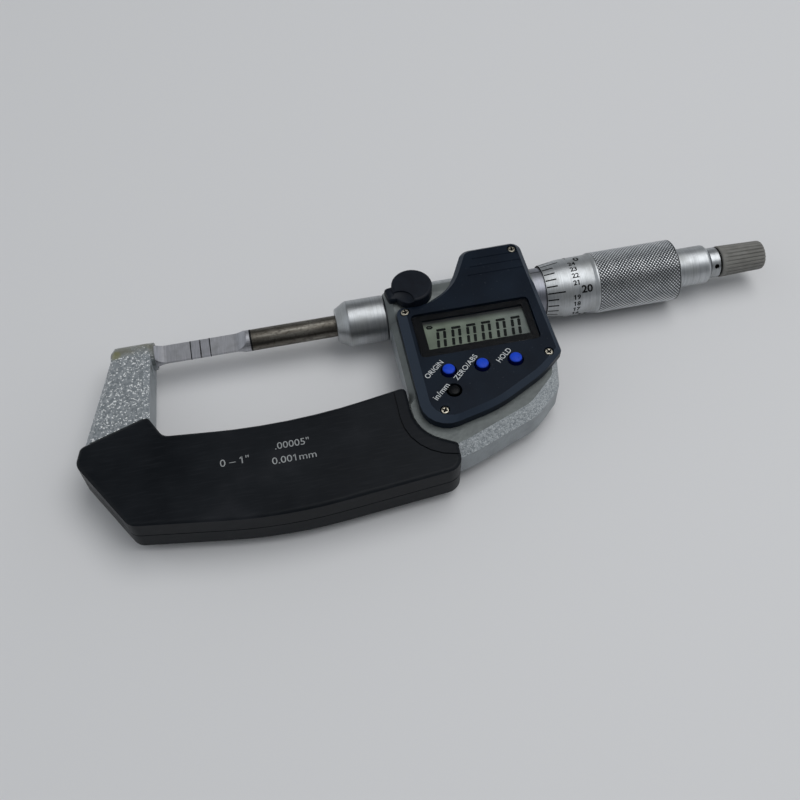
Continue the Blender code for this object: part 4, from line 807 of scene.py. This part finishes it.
# words bent round the thimble's barrel, centred on a division
def onThimble(words, division, height, place, name):
    bm = lettering(words, height, scale["figureWeight"], stretch=scale["figureStretch"])
    for cut in range(-5, 14):  # into bands a tenth of the height, so that the figure bends
        plane = height * cut / 10
        bmesh.ops.bisect_plane(bm, geom=list(bm.verts) + list(bm.edges) + list(bm.faces),
                               plane_co=(0, plane, 0), plane_no=(0, 1, 0), dist=0.001 * mm)
    for vert in bm.verts:
        x = edgeX + place + vert.co.x
        share = (x - bevelEnd) / grip["barrel"]
        radius = grip["bevelRadius"] + share * (grip["barrelRadius"] - grip["bevelRadius"])
        radius += ink["proud"] + vert.co.z
        around = divisionAngle(division) - (vert.co.y - height / 2) / radius
        vert.co = (x, radius * math.cos(around), radius * math.sin(around))
    keep(bm, name, scaleInk, "thimble_body")


for division in range(scale["divisions"]):
    large = division % 5 == 0
    onThimble(str(division), division, scale["largeFigure"] if large else scale["smallFigure"],
              scale["largePlace"] if large else scale["smallPlace"], f"thimble_figure_{division}")
print("thimble made")

# hub, ring and ratchet knob
hub = {"chamfer": 0.9 * mm, "round": 0.3 * mm}
low, high = local("thimble_hub")
bm = turn([
    (high.x, high.z - hub["chamfer"]), (high.x - hub["chamfer"], high.z), (low.x, high.z),
    (low.x, tailBore), (high.x, tailBore),
], hollow=True)
soften(bm, hub["round"], 30, 3)
keep(bm, "thimble_hub_turned", thimbleChrome, "thimble_body", ["thimble_hub"])

spannerRing = {
    "round": 0.1 * mm, "holeDepth": 0.12 * mm, "land": 0.3 * mm,  # beside the spanner hole
    "shadeWidth": 0.42 * mm, "shadeProud": 0.015 * mm, "shadeDepth": 0.3 * mm,
}
low, high = local("spanner_ring")
bm = copied("spanner_ring")
soften(bm, spannerRing["round"])
ring = keep(bm, "spanner_ring_turned", collarChrome, "thimble_body", ["spanner_ring"])
ring.data.materials.append(recessShade)
for face in ring.data.polygons:  # painted shade fills the spanner hole
    station = face.center.x - axisPlace.x
    reach = (face.center.yz - axisPlace.yz).length
    if (low.x + spannerRing["land"] < station < high.x - spannerRing["land"]
            and reach < high.z - spannerRing["holeDepth"]):
        face.material_index = 1
# a black band of painted shade round the ring's end, for the gap to the ratchet knob
shadeStart = high.x - spannerRing["shadeWidth"]
shadeTop = high.z + spannerRing["shadeProud"]
shadeFoot = high.z - spannerRing["shadeDepth"]
bm = turn([(high.x, shadeTop), (shadeStart, shadeTop), (shadeStart, shadeFoot),
           (high.x, shadeFoot)], hollow=True)
keep(bm, "spanner_ring_painted_shade", recessShade, "thimble_body")

ratchet = {
    "flutes": 24, "fluteDepth": 0.32 * mm, "fluteShare": 0.42, "steps": 8, "frontRadius": 4.82 * mm,
    "endRadius": 4.45 * mm, "frontLand": 0.9 * mm, "endRound": 0.9 * mm, "boreRadius": 3.6 * mm,
    "wall": 2.2 * mm, "boltRadius": 1.7 * mm, "sinkRadius": 2.9 * mm, "sink": 1.2 * mm,
    "chamfer": 0.3 * mm, "roundSteps": 4, "wallSteps": 6,
}
low, high = local("ratchet_knob")
roundPoints = []
for i in range(ratchet["roundSteps"] + 1):
    bend = math.pi / 2 * i / ratchet["roundSteps"]
    roundPoints.append((high.x - ratchet["endRound"] * (1 - math.cos(bend)),
                        ratchet["endRadius"] - ratchet["endRound"] * (1 - math.sin(bend))))
shellLength = high.x - ratchet["endRound"] - low.x
taper = ratchet["frontRadius"] - ratchet["endRadius"]
wallPoints = [(high.x - ratchet["endRound"] - shellLength * i / ratchet["wallSteps"],
               ratchet["endRadius"] + taper * i / ratchet["wallSteps"])
              for i in range(1, ratchet["wallSteps"])]
bm = turn(
    roundPoints + wallPoints + [
        (low.x + ratchet["frontLand"], ratchet["frontRadius"]),
        (low.x + ratchet["chamfer"], ratchet["frontRadius"]),
        (low.x, ratchet["frontRadius"] - ratchet["chamfer"]),
        (low.x, ratchet["boreRadius"]), (high.x - ratchet["wall"], ratchet["boreRadius"]),
        (high.x - ratchet["wall"], ratchet["boltRadius"]),
        (high.x - ratchet["sink"], ratchet["boltRadius"]),
        (high.x - ratchet["sink"], ratchet["sinkRadius"]), (high.x, ratchet["sinkRadius"]),
    ], ratchet["flutes"] * ratchet["steps"], hollow=True)
for vert in bm.verts:  # the flutes are pressed into the shell behind its plain front
    radius = math.hypot(vert.co.y, vert.co.z)
    along = vert.co.x - low.x - ratchet["frontLand"]
    if radius > ratchet["boreRadius"] + 0.1 * mm and along > 0.05 * mm:
        turns = math.atan2(vert.co.z, vert.co.y) / (2 * math.pi) * ratchet["flutes"]
        off = abs(turns - round(turns)) * 2
        dip = ratchet["fluteDepth"] * max(0.0, 1 - (off / ratchet["fluteShare"]) ** 2)
        shrink = 1 - dip / radius
        vert.co.y *= shrink
        vert.co.z *= shrink
keep(bm, "ratchet_knob_fluted", ratchetAbs, "ratchet_body", ["ratchet_knob"], 30)
print("ratchet made")


# a body turned round an upright line through a place
def turnUpright(profile, place, sides=48):
    bm = turn(profile, sides)
    bmesh.ops.rotate(bm, cent=(0, 0, 0), matrix=Matrix.Rotation(-math.pi / 2, 3, "Y"),
                     verts=bm.verts)
    bmesh.ops.translate(bm, vec=(place.x, place.y, 0), verts=bm.verts)
    return bm


# buttons: a flat top with a rounded rim, flanks that go down to a skirt, and a flange
buttons = {
    "rim": ((0.0, 0.5), (0.06, 0.2), (0.25, 0.0)),  # mm down from the top, mm in from the rim
    "skirt": ((1.2, 0.15), (1.6, 0.0)),  # mm down from the top, mm in from the skirt
    "lip": 0.6 * mm, "flange": 0.8 * mm,
}
for name, topRadius, material in (("origin", 1.75, buttonAbs), ("zero", 1.75, buttonAbs),
                                  ("hold", 1.75, buttonAbs), ("unit", 1.6, unitAbs)):
    low, high = local(f"button_{name}")
    middle = (low + high) / 2
    flangeRadius = (high.x - low.x) / 2
    skirtRadius = flangeRadius - buttons["lip"]
    flanks = [(high.z - down * mm, radius - inward * mm)
              for radius, points in ((topRadius * mm, buttons["rim"]),
                                     (skirtRadius, buttons["skirt"])) for down, inward in points]
    bm = turnUpright([
        (high.z, 0), *flanks, (low.z + buttons["flange"], skirtRadius),
        (low.z + buttons["flange"], flangeRadius), (low.z, flangeRadius), (low.z, 0),
    ], middle)
    keep(bm, f"{name}_button_cap", material, f"{name}_button_body", [f"button_{name}"])

# case screws and rear screws: turned, with a crossed recess cut in
screws = {
    "head": 0.93, "shank": 0.55,  # share of the CAD head's radius, share of the head's
    "crown": ((0.12, 0.0), (0.0, 0.55), (0.04, 0.85), (0.25, 1.0)),  # mm down, share of the head
    "recess": 0.7, "slot": 0.22, "recessDepth": 0.6, "start": 0.6,
    "shadeDepth": 0.15 * mm, "shadeReach": 0.8,
}
for group, count, headHeight, facing in (("case", 4, 0.8, 1), ("rear", 3, 0.9, -1)):
    for number in range(1, count + 1):
        node = f"{group}_screw_{number}"
        low, high = local(node)
        middle = (low + high) / 2
        head = (high.x - low.x) / 2 * screws["head"]
        shank = head * screws["shank"]
        face = high.z if facing > 0 else low.z
        far = low.z if facing > 0 else high.z
        under = face - facing * headHeight * mm
        crown = [(face - facing * down * mm, head * share) for down, share in screws["crown"]]
        bm = turnUpright([*crown, (under, head), (under, shank), (far, shank), (far, 0)],
                         middle, 40)
        bmesh.ops.recalc_face_normals(bm, faces=bm.faces)
        screw = keep(bm, f"{group}_screw_turned_{number}", screwNickel, "frame_body", [node])
        for turnStep in (0, 1):
            blade = bmesh.new()
            bmesh.ops.create_cube(blade, size=1.0)
            bmesh.ops.scale(blade, verts=blade.verts, vec=(
                head * 2 * screws["recess"], head * 2 * screws["slot"],
                headHeight * mm * screws["recessDepth"] * 2))
            turned = screws["start"] + number + turnStep * math.pi / 2
            bmesh.ops.rotate(blade, cent=(0, 0, 0), matrix=Matrix.Rotation(turned, 3, "Z"),
                             verts=blade.verts)
            bmesh.ops.translate(blade, vec=axisPlace + Vector((middle.x, middle.y, face)),
                                verts=blade.verts)
            bladeMesh = bpy.data.meshes.new("driver")
            blade.to_mesh(bladeMesh)
            blade.free()
            driver = bpy.data.objects.new("driver", bladeMesh)
            scene.collection.objects.link(driver)
            carve = screw.modifiers.new("Recess", "BOOLEAN")
            carve.object = driver
            carve.solver = "EXACT"
            carved = finished(screw)
            screw.modifiers.remove(carve)
            screw.data = carved
            bpy.data.objects.remove(driver)
        # the recess's faces below the rim are painted black, painted shade
        screw.data.materials.append(recessShade)
        for part in screw.data.polygons:
            depth = facing * (axisPlace.z + face - part.center.z)
            off = math.hypot(part.center.x - axisPlace.x - middle.x,
                             part.center.y - axisPlace.y - middle.y)
            if (screws["shadeDepth"] < depth < headHeight * mm
                    and off < head * screws["shadeReach"]):
                part.material_index = 1
print("buttons and screws made")

# display: printed border under the window, window, digits
display = {
    "viewLow": Vector((64.5, -21.1)) * mm, "viewHigh": Vector((94.2, -10.5)) * mm,
    "inkDepth": 0.05 * mm, "airGap": 0.01 * mm, "corner": 1.0 * mm, "round": 0.1 * mm,
    "digits": 6, "firstLeft": 67.9 * mm, "pitch": 4.4 * mm, "top": -14.4 * mm, "height": 6.7 * mm,
    "width": 2.85 * mm, "stroke": 0.88 * mm, "lean": 0.16, "gap": 0.12 * mm, "ink": 0.03 * mm,
    "inkLift": 0.005 * mm, "signStroke": 0.55 * mm,
    "sign": ((65.6, -12.5), (67.0, -12.7), (66.85, -13.4), (65.45, -13.2)),
}


# a flat plate with rounded corners
def plate(low, high, base, thickness, corner):
    bm = bmesh.new()
    bmesh.ops.create_cube(bm, size=1.0)
    bmesh.ops.scale(bm, vec=(high.x - low.x, high.y - low.y, thickness), verts=bm.verts)
    bmesh.ops.translate(bm, vec=((low.x + high.x) / 2, (low.y + high.y) / 2, base + thickness / 2),
                        verts=bm.verts)
    upright = [e for e in bm.edges if abs(e.verts[0].co.z - e.verts[1].co.z) > thickness / 2]
    bmesh.ops.bevel(bm, geom=upright, offset=corner, segments=5, profile=0.5, affect="EDGES",
                    material=-1)
    return bm


low, high = local("display_window")
bm = plate(low, high, low.z + display["inkDepth"] + display["airGap"],
           high.z - low.z - display["inkDepth"] - display["airGap"], display["corner"])
soften(bm, display["round"], 60, 2)
keep(bm, "display_pane", acrylic, "frame_body", ["display_window"])

bm = bmesh.new()
bmesh.ops.create_grid(bm, x_segments=1, y_segments=1, size=0.5)
bmesh.ops.scale(bm, vec=(high.x - low.x, high.y - low.y, 1), verts=bm.verts)
bmesh.ops.translate(bm, vec=((low.x + high.x) / 2, (low.y + high.y) / 2, low.z), verts=bm.verts)
# the inset's inner corners then go to the corners of what the border leaves open
bmesh.ops.inset_region(bm, faces=bm.faces, thickness=1.0 * mm, use_boundary=True)
middleFace = [f for f in bm.faces if all(not e.is_boundary for e in f.edges)][0]
for vert in middleFace.verts:
    vert.co.x = display["viewLow"].x if vert.co.x < (low.x + high.x) / 2 else display["viewHigh"].x
    vert.co.y = display["viewLow"].y if vert.co.y < (low.y + high.y) / 2 else display["viewHigh"].y
bmesh.ops.delete(bm, geom=[middleFace], context="FACES")
made = bmesh.ops.extrude_face_region(bm, geom=list(bm.faces))["geom"]
bmesh.ops.translate(bm, vec=(0, 0, display["inkDepth"]),
                    verts=[v for v in made if isinstance(v, bmesh.types.BMVert)])
bmesh.ops.recalc_face_normals(bm, faces=bm.faces)
keep(bm, "display_border", bezelInk, "frame_body")

glassTop = local("lcd_panel")[1].z


# a stroke of a figure between two points on the glass, bluntly pointed at both ends
def segment(bm, start, end, stroke=display["stroke"]):
    along = (end - start).normalized()
    across = Vector((-along.y, along.x)) * stroke / 2
    reach = along * stroke / 5
    corners = [start, start + reach - across, end - reach - across, end,
               end - reach + across, start + reach + across]
    face = bm.faces.new([bm.verts.new((p.x, p.y, glassTop + display["inkLift"]))
                         for p in corners])
    raised = bmesh.ops.extrude_face_region(bm, geom=[face])["geom"]
    bmesh.ops.translate(bm, vec=(0, 0, display["ink"]),
                        verts=[v for v in raised if isinstance(v, bmesh.types.BMVert)])


def leaning(x, drop):
    return Vector((x - drop * display["lean"], display["top"] - drop))


bm = bmesh.new()
tall, wide, gap = display["height"], display["width"], display["gap"]
half = display["stroke"] / 2
for digit in range(display["digits"]):
    left = display["firstLeft"] + digit * display["pitch"] + half
    far = left + wide - display["stroke"]
    for x in (left, far):
        segment(bm, leaning(x, half + gap), leaning(x, tall / 2 - gap))
        segment(bm, leaning(x, tall / 2 + gap), leaning(x, tall - half - gap))
    for drop in (0, tall):
        segment(bm, leaning(left - half, drop), leaning(far + half, drop))
sign = [Vector(corner) * mm for corner in display["sign"]]
for start, end in zip(sign, sign[1:] + sign[:1]):
    segment(bm, start, end, display["signStroke"])
bmesh.ops.recalc_face_normals(bm, faces=bm.faces)
keep(bm, "display_figures", segmentInk, "frame_body")
print("display made")

# labels on the housing and figures on the bow cover: words, start, angle, width, height in
# millimetres, surface and ink
caseTop = local("display_case")[1].z
coverTop = local("front_cover")[1].z
labelLift, labelWeight = 0.004 * mm, -0.002
labels = {
    "origin_label": ("ORIGIN", (61.87, -31.41), 40.1, 7.1, 1.65, caseTop, labelInk),
    "zero_label": ("ZERO/ABS", (69.72, -33.58), 42.8, 10.1, 1.65, caseTop, labelInk),
    "hold_label": ("HOLD", (82.72, -30.16), 39.3, 5.5, 1.7, caseTop, labelInk),
    "unit_label": ("in/mm", (62.76, -38.91), 42.5, 6.1, 1.85, caseTop, labelInk),
    "range_label": ("0 – 1\"", (2.3, -45.45), 0.0, 7.75, 2.35, coverTop, coverInk),
    "inch_step_label": (".00005\"", (17.3, -43.05), 0.0, 9.3, 2.2, coverTop, coverInk),
    "metric_step_label": ("0.001mm", (16.0, -47.55), 0.0, 11.9, 2.2, coverTop, coverInk),
}
for name, (words, start, angle, width, height, surface, material) in labels.items():
    bm = lettering(words, height * mm, labelWeight, width * mm)
    bmesh.ops.rotate(bm, cent=(0, 0, 0), matrix=Matrix.Rotation(math.radians(angle), 3, "Z"),
                     verts=bm.verts)
    bmesh.ops.translate(bm, vec=(start[0] * mm, start[1] * mm, surface + labelLift),
                        verts=bm.verts)
    keep(bm, name, material, "frame_body")
print("labels made")

# bench, lamp and world
bench = {"size": 3.0, "drop": 0.02 * mm, "colour": "#e1e1e2"}  # dropped just clear of the back
bm = bmesh.new()
bmesh.ops.create_grid(bm, x_segments=1, y_segments=1, size=bench["size"] / 2)
bmesh.ops.translate(bm, vec=(0, 0, -bench["drop"]), verts=bm.verts)
floorMesh = bpy.data.meshes.new("bench_top")
bm.to_mesh(floorMesh)
bm.free()
floor = bpy.data.objects.new("bench_top", floorMesh)
scene.collection.objects.link(floor)
floorMesh.materials.append(newMaterial("painted_bench", bench["colour"], 0.0, 0.6)[0])

lamp = {"place": Vector((0.35, 0.08, 1.08)), "long": 1.25, "wide": 0.78, "power": 5.6}
light = bpy.data.lights.new("overhead", "AREA")
light.shape = "ELLIPSE"
light.size = lamp["long"]
light.size_y = lamp["wide"]
light.energy = lamp["power"]
holder = bpy.data.objects.new("overhead", light)
holder.location = (cadBox[0] + cadBox[1]) / 2 + lamp["place"]
holder.rotation_mode = "QUATERNION"
holder.rotation_quaternion = (-lamp["place"]).to_track_quat("-Z", "Y")
scene.collection.objects.link(holder)

# a pale room, dim past the instrument's back and in front of it: each dim part has the way to
# it, how near that way it starts and is full, and how much light is left
room = {"colour": "#e2e6ea", "strength": 0.78,
        "dim": (((0.1, 0.62, 0.78), 0.65, 0.9, 0.2), ((0.0, -0.95, 0.3), 0.6, 0.85, 0.2))}
world = bpy.data.worlds.new("pale_room")
scene.world = world
world.use_nodes = True
background = world.node_tree.nodes["Background"]
background.inputs["Color"].default_value = linear(room["colour"])
sky = addNode(world, "ShaderNodeTexCoord").outputs["Generated"]
shares = []
for way, start, full, share in room["dim"]:
    toward = addNode(world, "ShaderNodeVectorMath", {0: sky, 1: Vector(way).normalized()},
                     operation="DOT_PRODUCT").outputs["Value"]
    shares.append(addNode(world, "ShaderNodeMapRange", {
        "Value": toward, "From Min": start, "From Max": full, "To Min": 1.0,
        "To Max": share}).outputs["Result"])
dimmed = addNode(world, "ShaderNodeMath", {0: shares[0], 1: shares[1]},
                 operation="MULTIPLY").outputs[0]
brightness = addNode(world, "ShaderNodeMapRange", {
    "Value": dimmed, "To Max": room["strength"]}).outputs["Result"]
world.node_tree.links.new(brightness, background.inputs["Strength"])
scene.view_settings.view_transform = "Standard"
print("bench and lamp placed")
